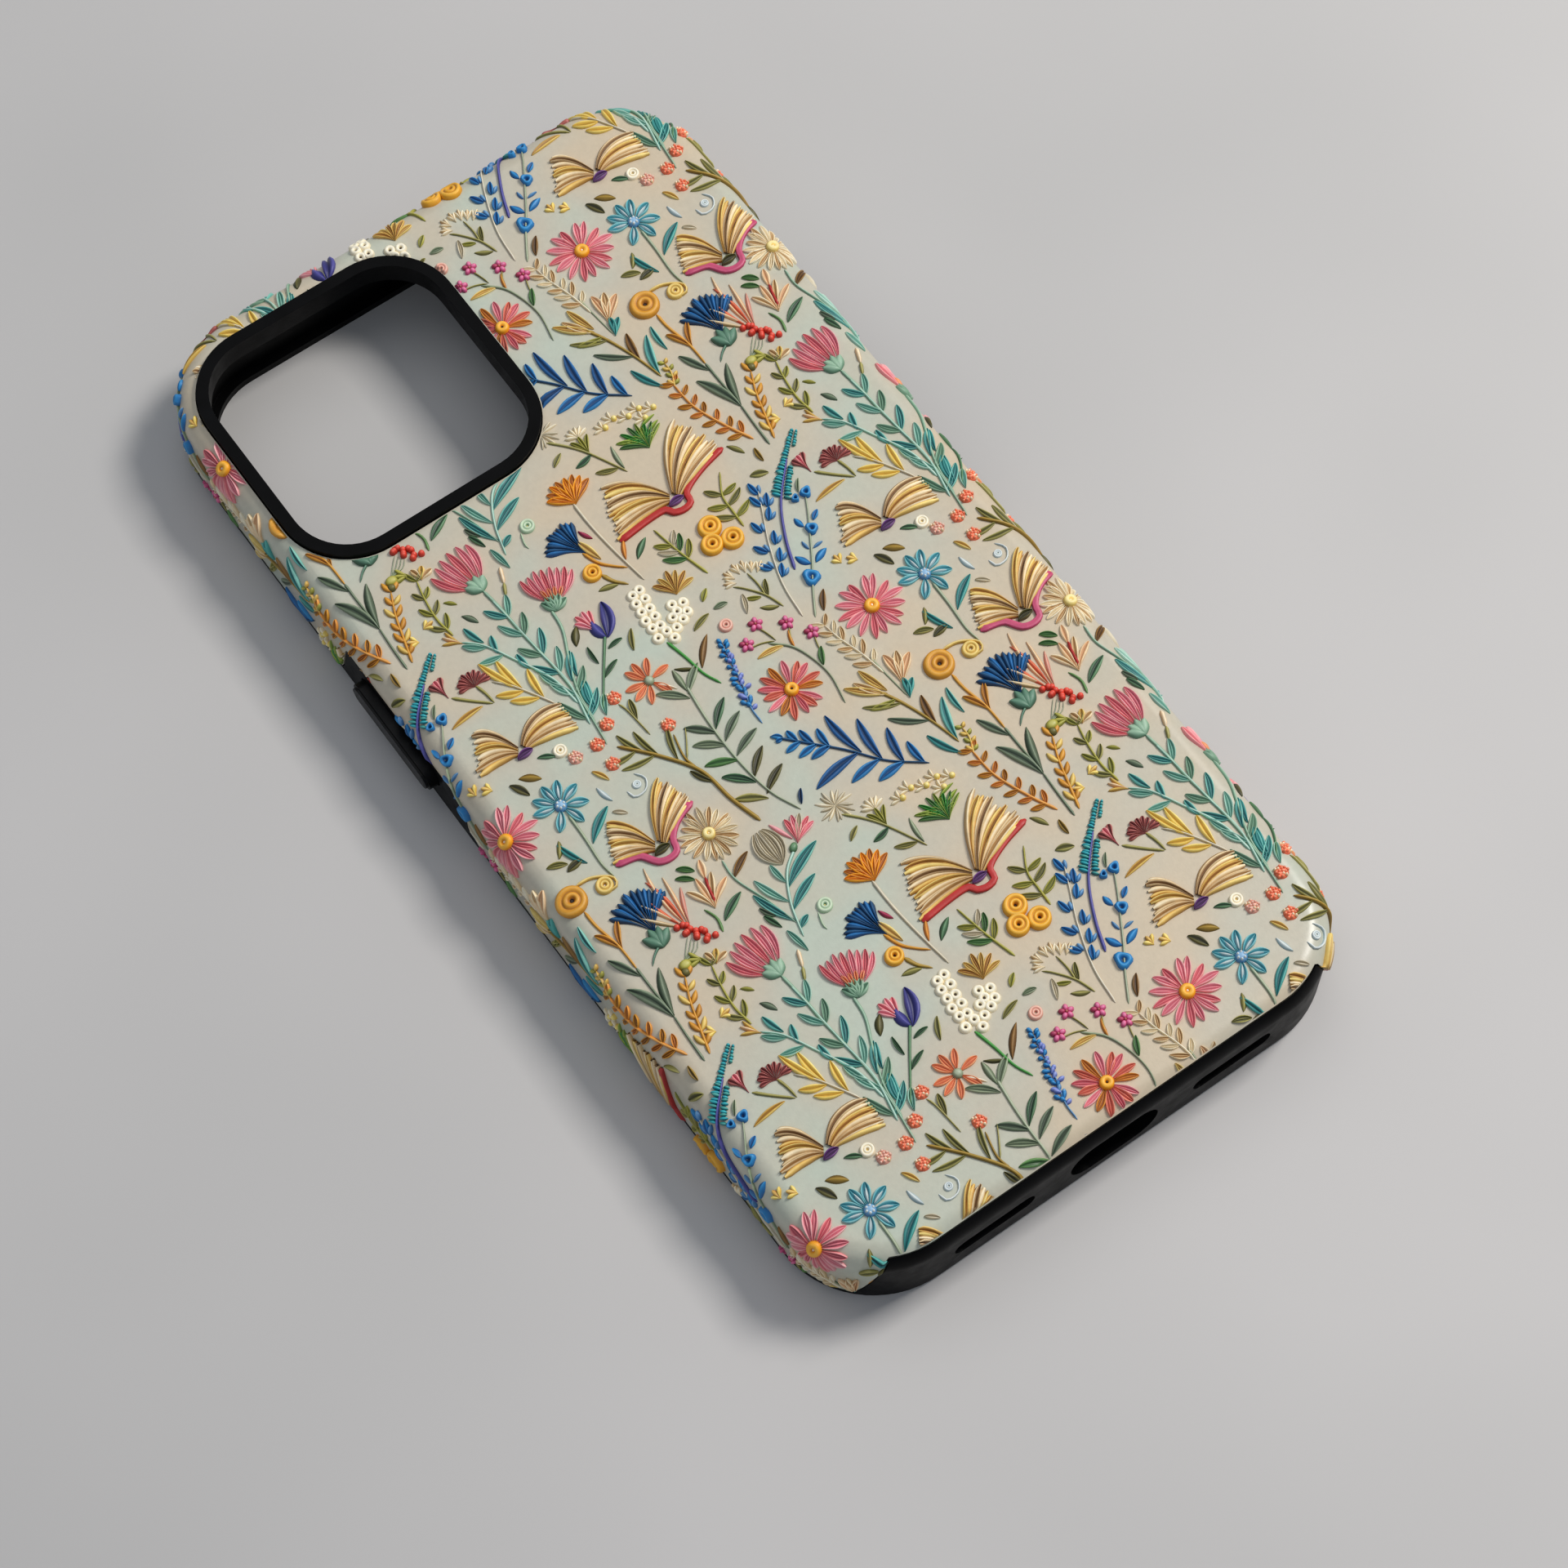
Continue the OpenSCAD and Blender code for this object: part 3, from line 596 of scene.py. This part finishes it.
def draw_pale_sprigs():
    """The yellow sprig and the pale sprigs."""
    stem("pearl", [(31, 6.8), (29.4, 9.6), (28, 11.8), (26.4, 13.6)], .4)
    for x, y, angle, length in ((30.4, 8.2, 84, 4.4), (28.9, 10.6, 96, 5.2), (28.6, 11, 112, 6.0),
            (29.9, 8.4, 152, 3.6), (28.8, 10.3, 156, 3.4)):
        leaf("yellow", x, y, angle, length, 1.1, CREASE, .04, .5)
    sprig("cream", ["cream", "page_cream"], [(11.7, -13), (11, -9.4), (10, -6), (9.6, -3.6)], 6, 2.3, .8, 46,
        CUP, .35, .25, 0, .2)
    for x, y, angle, length, ink in ((10.6, -15.2, 108, 4.4, "page_yellow"),
            (10.4, -15.6, 138, 5.4, "page_yellow"), (10.2, -15.7, 124, 4.4, "page_cream")):
        leaf(ink, x, y, angle, length, 1.1, CUP, .03, .5)
    stem("olive_gold", [(9.6, -14.6), (11.2, -17.8), (12.6, -21.8), (13.6, -25.8)], .6)
    leaves(CREASE, .05, (12.3, -21.4, 142, 5.0, .9, "pine_grey"), (12.8, -22.4, 80, 4.4, 1.1, "brown"),
        (11, -17.6, 152, 4.8, .8, "olive"), (10.9, -16.8, 170, 3.6, .9, "olive_lime"))
    for x, y, a in ((4.2, 7.4, 150), (4.4, 8, 118), (5.3, 8.2, 92), (6, 8, 74), (6.6, 7.6, 58), (7.2, 7.2, 36)):
        fan(["cream", "page_cream"], x, y, a, 46, 3, 1.7, .5, FOLD, .1)
    stem("olive", [(7.1, 1.5), (6.2, 4), (4.6, 6.2), (3.6, 7.2)], .4)
    stem("olive", [(6.2, 4), (6.3, 5.8), (6.1, 7.8)], .4)
    loose(("olive_lime", 5.6, 4.1, 152, 1.9, .6), ("olive", 6.5, 3.8, 66, 2.3, .7),
        ("olive", 6.7, 1.8, 150, 2.4, .8), ("pearl", 3.9, 5.8, -112, 2.8, .8))
    for k in range(15):
        leaf("pearl" if k % 3 else "cream", -3.6, -24, 24 * k + rng.uniform(-6, 6),
            2.4 * rng.uniform(.8, 1.1), .45, FOLD, .03, .34, .6)
    stem("olive", [(-3.6, -25.4), (-1.6, -27.6), (0, -30), (2.3, -34.6)], .45)
    fan(["cream"], 0, -27.2, 90, 130, 6, 1.8, .6, FOLD)
    fan(["olive_lime"], -.1, -29.8, 88, 50, 3, 2.9, .6, CREASE)
    loose(("olive", -4.8, -28.9, 34, 2.2, .7), ("pine", -.1, -30, 192, 2.6, .9),
        ("olive", 1.6, -33.6, 158, 2.9, .8), ("sage", 2.3, -34, 84, 3.6, .7))
    fan(["green_lime", "green", "green_bright"], 6.5, -33.4, 92, 116, 8, 4.0, .52, CREASE, .1)
    fan(["green_lime", "green_bright"], 6.6, -32.4, 86, 150, 6, 2.0, .5, CUP, .1)
    for x, y in ((3.6, -27.9), (5.2, -27.4), (6.9, -28.2), (8.6, -28), (8.5, -29.6), (10.2, -28.9)):
        dot("yellow", x, y, .42, .6)
        fan(["cream"], x - .3, y - .1, 130, 90, 3, 1.4, .5, FOLD)
    loose(("green_lime", 7.4, -31.6, 22, 2.4, .6), ("green_lime", 5.6, -31.4, 160, 2.4, .6),
        ("green_lime", 7.2, -30.4, 14, 2.6, .5))


def draw_blossoms():
    """Small magenta blossoms."""
    for x, y, foot in ((.3, -.3, (3.4, -1.8)), (2.8, 1.4, (3.6, -1.8)), (6, -.6, (4.9, -3.6)),
            (7.8, -3.4, (7.2, -6))):
        stem("olive", [(x, y - .6), ((x + foot[0]) / 2, (y + foot[1]) / 2 - .1), foot], .3)
        for k in range(5):
            dot(("orchid", "wine_bright")[k == 1], x + .55 * math.cos(k * 1.257 + 1.2),
                y + .55 * math.sin(k * 1.257 + 1.2), .5, .55, .75, k * 72 + 69)
        dot("wine", x, y, .2, .62)
    stem("sage", [(2.6, -1.6), (5, -4.2), (6.2, -9), (5.5, -13.6)], .42)
    loose(("page_yellow", .3, -2.6, -6, 3.6, .8), ("green", 6.4, -7.9, 62, 2.6, .9),
        ("orange", 4.9, -4, 74, 2.6, .5))


def draw_leaves_between():
    """Sprigs and single leaves between the flowers."""
    sprig("olive_lime", ["olive_lime", "green", "pearl"], [(2.2, 10.6), (1.2, 14.2), (.8, 16), (.2, 19.4)], 3,
        2.9, .9, 48, CUP, .5, .2, 0, .36, .66)
    sprig("olive_lime", ["olive_lime", "olive"], [(9.6, 13.4), (9.7, 16), (9.9, 18.4), (11.6, 21.4)], 3, 3.2,
        .95, 62, CUP, .5, .2, 0, .2, .62)
    stem("peach", [(36, 26.1), (35.2, 24)], .7, .5, .9)
    stem("olive", [(35.2, 24), (34.4, 22.4)], .7, .45, .8)
    loose(("pine", -3.7, 17.2, 38, 3.2, 1.0), ("olive_lime", -.6, 7.7, 42, 1.9, .8),
        ("sage", -.1, 6.1, -8, 1.9, .8), ("olive", -3.8, 5, 18, 3.0, .8), ("olive", -11.3, 7.1, 62, 3.1, .8),
        ("olive_deep", -16.7, 11.6, 56, 2.8, 1.2), ("pine", -15.8, 8.1, 88, 2.7, .5),
        ("pine", -13.7, 9.1, 6, 2.2, .6), ("pine", -16.3, 6.1, 24, 2.9, .7),
        ("olive", -10.2, 16.3, -14, 2.6, .9), ("olive", 14.4, 23.9, -58, 2.5, .8),
        ("olive_gold", 17, 19.5, 88, 2.2, .7), ("olive", 14.3, 18.7, -22, 2.4, 1.1),
        ("gold_pale", 18.9, 11, 6, 4.8, .8), ("olive_deep", 20.3, .8, -62, 2.8, 1.1),
        ("olive_gold", 21.7, .9, -34, 2.8, 1.2), ("brown", 10.8, -1.9, 56, 3.0, .9),
        ("olive", 21, -8.6, -122, 2.4, .8), ("olive", 17.8, -10.8, -22, 2.6, .9),
        ("olive_deep", 19.6, -12.6, 8, 2.4, 1.1), ("gold_pale", 29.4, -3.4, -62, 2.4, .7),
        ("frost_blue", 29.3, -8, 104, 2.6, .8), ("pearl", 28.4, -9.2, -40, 1.9, .6),
        ("pine_grey", 28.4, 23.2, -58, 2.3, .9), ("olive_lime", 27.6, 26, -42, 1.7, .6),
        ("orange", -4.9, 18, 62, 3.0, .7), ("wine_bright", -6.6, 22.8, 116, 2.1, .7),
        ("pine_grey", 36.4, -31.6, 118, 2.2, .7))
    for x, y, a in ((23.6, 24.4, 10), (22.2, 23.2, 150), (16.4, 2.2, 100), (18.3, 1.4, 130)):
        fan(["yellow", "page_gold"], x, y, a, 70, 3, 1.5, .55, DOME, .1, .42)
    stem("frost_blue", [(31.4, -8), (31.8, -9.2), (33.4, -9.1), (34.2, -7.8), (33.4, -6.5)], .4, .3)
    coil("frost_blue", 32.9, -7.9, .6, .3, "pearl")


# The groups draw from one stream of random numbers, so their order is fixed.
for draw in (draw_books, draw_daisies, draw_fans, draw_coils, draw_bells, draw_blue_spikes, draw_blue_fern,
        draw_green_fern, draw_olive_branches, draw_berries, draw_mint_branches, draw_pale_sprigs,
        draw_blossoms, draw_leaves_between):
    draw()


# ---------------------------------------------------------------- materials
def linear(*srgb):
    """Linear colour from the 0 to 255 numbers that a person reads off a swatch."""
    return tuple(((c / 255 + 0.055) / 1.055) ** 2.4 if c > 10 else c / 255 / 12.92 for c in srgb) + (1.0,)


def new_material(name):
    m = bpy.data.materials.new(name)
    m.use_nodes = True
    return m, m.node_tree.nodes, m.node_tree.links, m.node_tree.nodes["Principled BSDF"]


def noise(nodes, links, coords, scale, detail=3.0, rough=0.55):
    n = nodes.new("ShaderNodeTexNoise")
    n.inputs["Scale"].default_value = scale
    n.inputs["Detail"].default_value = detail
    n.inputs["Roughness"].default_value = rough
    links.new(coords, n.inputs["Vector"])
    return n.outputs["Fac"]


def ramp(nodes, links, value, *stops):
    r = nodes.new("ShaderNodeValToRGB")
    while len(r.color_ramp.elements) < len(stops):
        r.color_ramp.elements.new(0.5)
    for e, (at, colour) in zip(r.color_ramp.elements, stops):
        e.position, e.color = at, colour
    links.new(value, r.inputs["Fac"])
    return r.outputs["Color"]


def mix(nodes, links, factor, a, b, kind="MIX"):
    m = nodes.new("ShaderNodeMix")
    m.data_type, m.blend_type = "RGBA", kind
    for socket, value in ((m.inputs["Factor"], factor), (m.inputs["A"], a), (m.inputs["B"], b)):
        if hasattr(value, "is_linked"):
            links.new(value, socket)
        else:
            socket.default_value = value
    return m.outputs["Result"]


def bump(nodes, links, height, strength, distance):
    b = nodes.new("ShaderNodeBump")
    b.inputs["Strength"].default_value, b.inputs["Distance"].default_value = strength, distance
    links.new(height, b.inputs["Height"])
    return b.outputs["Normal"]


def paint(name, light, dark, rough=0.48):
    """Moulded, coloured relief with painted shade in its hollows and a painted highlight on its rims, with fine
    brushed grain.
    """
    m, nodes, links, shader = new_material(name)
    place = nodes.new("ShaderNodeTexCoord").outputs["Object"]
    # Reads each point's painted shading: low values are painted shade, high values a painted highlight.
    painted_shading = nodes.new("ShaderNodeAttribute")
    painted_shading.attribute_name = "painted_shading"
    middle = [(a + b) / 2 for a, b in zip(light, dark)]
    # Painted highlight: the rim colour is the light colour lifted toward white, more for paler inks.
    highlight_share = 0.34 * (sum(light) / 765) ** 1.5
    pale = [a + (255 - a) * highlight_share for a in light]
    # Ramp from deep painted shade (the dark colour darkened) through the dark, middle and light colours to the
    # painted highlight.
    colour = ramp(nodes, links, painted_shading.outputs["Fac"], (0.0, linear(*[c * 0.86 for c in dark])),
        (0.2, linear(*dark)), (0.55, linear(*middle)), (0.88, linear(*light)), (1.0, linear(*pale)))
    patches = ramp(nodes, links, noise(nodes, links, place, 900, 2), (0.3, (0.80, 0.80, 0.82, 1)),
        (0.7, (1.12, 1.10, 1.06, 1)))
    colour = mix(nodes, links, 0.55, colour, patches, "MULTIPLY")
    links.new(colour, shader.inputs["Base Color"])
    shader.inputs["Roughness"].default_value = rough
    links.new(bump(nodes, links, noise(nodes, links, place, 5200, 3), 0.35, 0.00005), shader.inputs["Normal"])
    return m


PAINTS = {  # light (lit colour of rims and tops), dark (colour of the painted shade in hollows)
    "pink": ((252, 188, 188), (220, 112, 128)), "rose": ((248, 158, 158), (204, 88, 102)),
    "pink_pale": ((240, 182, 160), (196, 116, 104)),
    "coral": ((246, 152, 126), (204, 90, 72)), "apricot": ((250, 172, 120), (216, 114, 74)),
    "tomato": ((250, 138, 98), (198, 68, 42)),
    "red": ((230, 68, 48), (146, 20, 16)), "crimson": ((184, 30, 26), (112, 10, 12)),
    "wine": ((192, 106, 98), (118, 50, 50)),
    "magenta": ((198, 72, 112), (130, 30, 60)), "orchid": ((224, 100, 148), (150, 36, 84)),
    "wine_bright": ((176, 50, 88), (108, 20, 48)),
    "periwinkle": ((142, 158, 222), (72, 88, 168)), "violet": ((134, 84, 150), (70, 34, 84)),
    "indigo": ((88, 86, 162), (42, 42, 108)),
    "orange": ((236, 160, 64), (172, 94, 24)), "orange_bright": ((254, 174, 28), (208, 116, 8)),
    "peach": ((252, 226, 184), (216, 162, 112)),
    "ochre": ((222, 156, 44), (150, 90, 16)), "gold": ((246, 180, 46), (184, 112, 14)),
    "gold_pale": ((236, 202, 106), (172, 124, 42)),
    "yellow": ((255, 230, 128), (214, 170, 60)), "page_gold": ((244, 204, 112), (156, 102, 38)),
    "page_yellow": ((250, 224, 134), (178, 132, 56)),
    "page_cream": ((254, 236, 196), (178, 134, 78)), "page_tan": ((230, 204, 156), (136, 98, 58)),
    "cream": ((255, 246, 218), (216, 194, 152)),
    "pearl": ((228, 218, 192), (164, 150, 120)), "frost_blue": ((220, 228, 226), (140, 166, 174)),
    "brown": ((152, 110, 44), (82, 52, 18)), "olive_gold": ((172, 138, 48), (98, 74, 16)),
    "olive_deep": ((104, 98, 44), (48, 46, 16)),
    "olive": ((174, 166, 92), (86, 84, 34)), "olive_lime": ((184, 178, 78), (108, 108, 30)),
    "green_lime": ((170, 188, 82), (98, 124, 38)),
    "green_bright": ((68, 158, 62), (30, 102, 30)), "green": ((98, 144, 78), (46, 88, 40)),
    "pine": ((94, 138, 96), (32, 62, 40)),
    "pine_grey": ((126, 142, 114), (50, 66, 48)), "pine_mint": ((94, 136, 112), (38, 74, 56)),
    "sage": ((166, 178, 146), (88, 104, 78)),
    "sage_mint": ((154, 188, 160), (80, 124, 98)), "mint": ((182, 218, 200), (80, 146, 128)),
    "mint_pale": ((200, 220, 186), (130, 166, 132)),
    "teal_mid": ((136, 204, 188), (12, 100, 102)), "teal": ((84, 176, 166), (12, 94, 98)),
    "teal_bright": ((56, 184, 192), (10, 104, 124)),
    "teal_sky": ((134, 200, 204), (44, 134, 152)), "blue_soft": ((116, 168, 210), (50, 102, 156)),
    "blue": ((38, 138, 202), (12, 78, 138)),
    "blue_mid": ((44, 146, 208), (10, 76, 132)), "navy_light": ((32, 112, 178), (8, 58, 106)),
    "navy": ((28, 88, 134), (8, 38, 72)),
    "ink_dark": ((46, 30, 20), (18, 10, 6)),
}

FAMILIES = {  # the inks that make up each piece of the print
    "paper": ["page_cream"], "ivory": ["cream", "mint_pale"], "straw": ["page_gold", "page_yellow", "page_tan"],
    "olive": ["olive", "olive_deep"], "lime": ["olive_lime", "green_lime"], "pink": ["pink", "pink_pale"],
    "rose": ["rose", "coral"], "tomato": ["tomato", "red", "crimson"], "apricot": ["apricot", "peach"],
    "amber": ["orange", "orange_bright", "ochre", "gold"], "yellow": ["yellow", "gold_pale"],
    "blue": ["blue", "periwinkle"],
    "sky": ["blue_soft", "frost_blue", "teal_sky"], "navy": ["blue_mid", "navy_light", "navy"],
    "teal": ["teal", "teal_bright"],
    "mint": ["mint", "teal_mid"], "sage": ["sage_mint", "sage"],
    "pine": ["pine", "pine_grey", "pine_mint", "green", "green_bright"],
    "plum": ["wine", "wine_bright", "magenta", "orchid", "violet", "indigo"],
    "bark": ["pearl", "olive_gold", "brown", "ink_dark"],
}


# ---------------------------------------------------------------- meshes from the print
def mesh_object(name, points, quads, painted_shading=None):
    """A smooth mesh in metres from arrays in millimetres."""
    me = bpy.data.meshes.new(name)
    me.vertices.add(len(points))
    me.vertices.foreach_set("co", (points * MM).astype(np.float32).ravel())
    me.loops.add(quads.size)
    me.loops.foreach_set("vertex_index", quads.ravel().astype(np.int32))
    me.polygons.add(len(quads))
    me.polygons.foreach_set("loop_start", np.arange(0, quads.size, 4, dtype=np.int32))
    me.polygons.foreach_set("loop_total", np.full(len(quads), 4, np.int32))
    me.polygons.foreach_set("use_smooth", np.ones(len(quads), bool))
    # Each point keeps its painted shading, which the print's materials turn into painted shade and painted
    # highlight.
    if painted_shading is not None:
        me.attributes.new("painted_shading", "FLOAT", "POINT").data.foreach_set("value", painted_shading.astype(np.float32))
    me.update(calc_edges=True)
    me.validate()
    ob = bpy.data.objects.new(name, me)
    bpy.context.collection.objects.link(ob)
    return ob


def lay_out(shapes):
    """Repeats an ink's shapes over the shell and drops what falls outside the printed area."""
    laid, faces, count = [np.empty((0, 4))], [np.empty((0, 4), int)], 0
    for points, quads in shapes:
        middle = points[:, :2].mean(0)
        for i in range(-3, 4):
            for j in range(-3, 4):
                shift = np.array([i * TILE_W + PRINT_AT[0], j * TILE_L + PRINT_AT[1], 0, 0])
                at = np.abs(middle + shift[:2])
                if at[0] > HALF_W + 14 or at[1] > HALF_L + 14:
                    continue
                place, inside = wrap(*(points + shift)[:, :3].T)
                keep = quads[(inside[quads] > 0).any(1)]
                if not len(keep):
                    continue
                used, renumbered = np.unique(keep, return_inverse=True)
                # Each kept point carries its painted shading beside its place.
                laid.append(np.hstack([place[used], points[used, 3:4]]))
                faces.append(renumbered.reshape(-1, 4) + count)
                count += len(used)
    return np.vstack(laid), np.vstack(faces)


def print_pieces():
    """Makes one piece of raised print for each family of inks, with a material for each ink."""
    for family, members in FAMILIES.items():
        laid = [lay_out(inks.get(ink, [])) for ink in members]
        starts = np.cumsum([0] + [len(p) for p, _ in laid])
        points = np.vstack([p for p, _ in laid])
        quads = np.vstack([q + start for (_, q), start in zip(laid, starts)])
        # The fourth column is the painted shading.
        ob = mesh_object("print_" + family, points[:, :3], quads, points[:, 3])
        for ink in members:
            ob.data.materials.append(paint(ink, *PAINTS[ink]))
        slots = np.repeat(np.arange(len(members), dtype=np.int32), [len(q) for _, q in laid])
        ob.data.polygons.foreach_set("material_index", slots)
        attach(ob, "shell")


print_pieces()


# ---------------------------------------------------------------- shell, liner and covers
def shell_material():
    """Pale hard plastic under a satin coat, with soft clouds of cream, mint and rose in the ground colour."""
    m, nodes, links, shader = new_material("shell_ground")
    place = nodes.new("ShaderNodeTexCoord").outputs["Object"]
    ground = ramp(nodes, links, noise(nodes, links, place, 46, 2), (0.36, linear(186, 194, 178)),
        (0.5, linear(194, 187, 168)), (0.64, linear(203, 187, 161)))
    speck = ramp(nodes, links, noise(nodes, links, place, 1400, 4), (0.3, (0.93, 0.93, 0.93, 1)),
        (0.7, (1.04, 1.04, 1.04, 1)))
    links.new(mix(nodes, links, 0.6, ground, speck, "MULTIPLY"), shader.inputs["Base Color"])
    links.new(ramp(nodes, links, noise(nodes, links, place, 260, 3), (0.3, (0.34, 0.34, 0.34, 1)),
        (0.7, (0.46, 0.46, 0.46, 1))), shader.inputs["Roughness"])
    links.new(bump(nodes, links, noise(nodes, links, place, 2600, 4), 0.25, 0.00006), shader.inputs["Normal"])
    shader.inputs["Coat Weight"].default_value = 0.25
    shader.inputs["Coat Roughness"].default_value = 0.25
    return m


def liner_material(name, rough, gloss):
    """Black soft plastic with the fine grain that its mould leaves."""
    m, nodes, links, shader = new_material(name)
    place = nodes.new("ShaderNodeTexCoord").outputs["Object"]
    links.new(ramp(nodes, links, noise(nodes, links, place, 300, 3), (0.3, linear(3, 3, 3)),
        (0.7, linear(7, 7, 8))), shader.inputs["Base Color"])
    links.new(ramp(nodes, links, noise(nodes, links, place, 420, 3), (0.3, (rough - .05,) * 3 + (1,)),
        (0.7, (rough + .08,) * 3 + (1,))), shader.inputs["Roughness"])
    links.new(bump(nodes, links, noise(nodes, links, place, 5200, 2), 0.3, 0.00004), shader.inputs["Normal"])
    shader.inputs["Specular IOR Level"].default_value = gloss
    return m


def dress(node, material, width):
    """Gives a CAD node its material and softens its edges."""
    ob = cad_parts[node]
    ob.data.materials.clear()
    ob.data.materials.append(material)
    weld = ob.modifiers.new("weld", "WELD")
    weld.merge_threshold = 1e-6
    soften = ob.modifiers.new("soften", "BEVEL")
    soften.width, soften.segments = width * MM, 3
    soften.limit_method, soften.angle_limit = "ANGLE", math.radians(38)
    soften.harden_normals = False
    shade = ob.modifiers.new("shade", "WEIGHTED_NORMAL")
    shade.keep_sharp = False
    for p in ob.data.polygons:
        p.use_smooth = True


dress("outer_shell", shell_material(), 0.12)
dress("inner_liner", liner_material("liner_black", 0.42, 0.07), 0.25)
for cover in ("side_button_cover", "volume_up_cover", "volume_down_cover"):
    dress(cover, liner_material(cover + "_black", 0.34, 0.16), 0.3)


# ---------------------------------------------------------------- floor, light and camera
def stage():
    """The pale floor, the sky's light and three lamps."""
    bpy.ops.mesh.primitive_plane_add(size=6)
    floor = bpy.context.object
    floor.name = "floor"
    m, nodes, links, shader = new_material("floor_pale")
    place = nodes.new("ShaderNodeTexCoord").outputs["Object"]
    links.new(ramp(nodes, links, noise(nodes, links, place, 5, 3), (0.35, linear(186, 184, 182)),
        (0.65, linear(200, 197, 195))), shader.inputs["Base Color"])
    shader.inputs["Roughness"].default_value = 0.7
    floor.data.materials.append(m)

    world = bpy.data.worlds.new("studio")
    world.use_nodes = True
    world.node_tree.nodes["Background"].inputs["Color"].default_value = (0.78, 0.87, 1.0, 1)
    world.node_tree.nodes["Background"].inputs["Strength"].default_value = 0.30
    bpy.context.scene.world = world
    for name, at, size, power, colour in (("key", (0.56, -0.04, 0.68), 0.26, 6.0, (1, .97, .93)),
                                          ("fill", (-0.7, -0.5, 0.8), 0.8, 0.8, (.93, .96, 1)),
                                          ("top", (0.05, 0.5, 1.0), 0.9, 1.8, (1, 1, 1))):
        light = bpy.data.lights.new(name, "AREA")
        light.size, light.energy, light.color = size, power, colour
        ob = bpy.data.objects.new(name, light)
        ob.location = at
        ob.rotation_euler = (Vector((0, 0, 0)) - Vector(at)).to_track_quat("-Z", "Y").to_euler()
        bpy.context.collection.objects.link(ob)


def camera():
    """Looks down on the printed back from the port end's left, as in the photograph."""
    at, target, roll = Vector((-0.1331, -0.1899, 0.4642)), Vector((-0.0063, -0.0185, 0.0116)), math.radians(0.9)
    cam = bpy.data.cameras.new("camera")
    cam.lens, cam.sensor_width, cam.clip_start = 95.66, 36, 0.01
    ob = bpy.data.objects.new("camera", cam)
    ob.location = at
    ob.rotation_mode = "QUATERNION"
    ob.rotation_quaternion = (target - at).to_track_quat("-Z", "Y") @ Matrix.Rotation(roll, 4,
        "Z").to_quaternion()
    bpy.context.collection.objects.link(ob)
    bpy.context.scene.camera = ob


stage()
camera()
bpy.context.scene.view_settings.view_transform = "Standard"
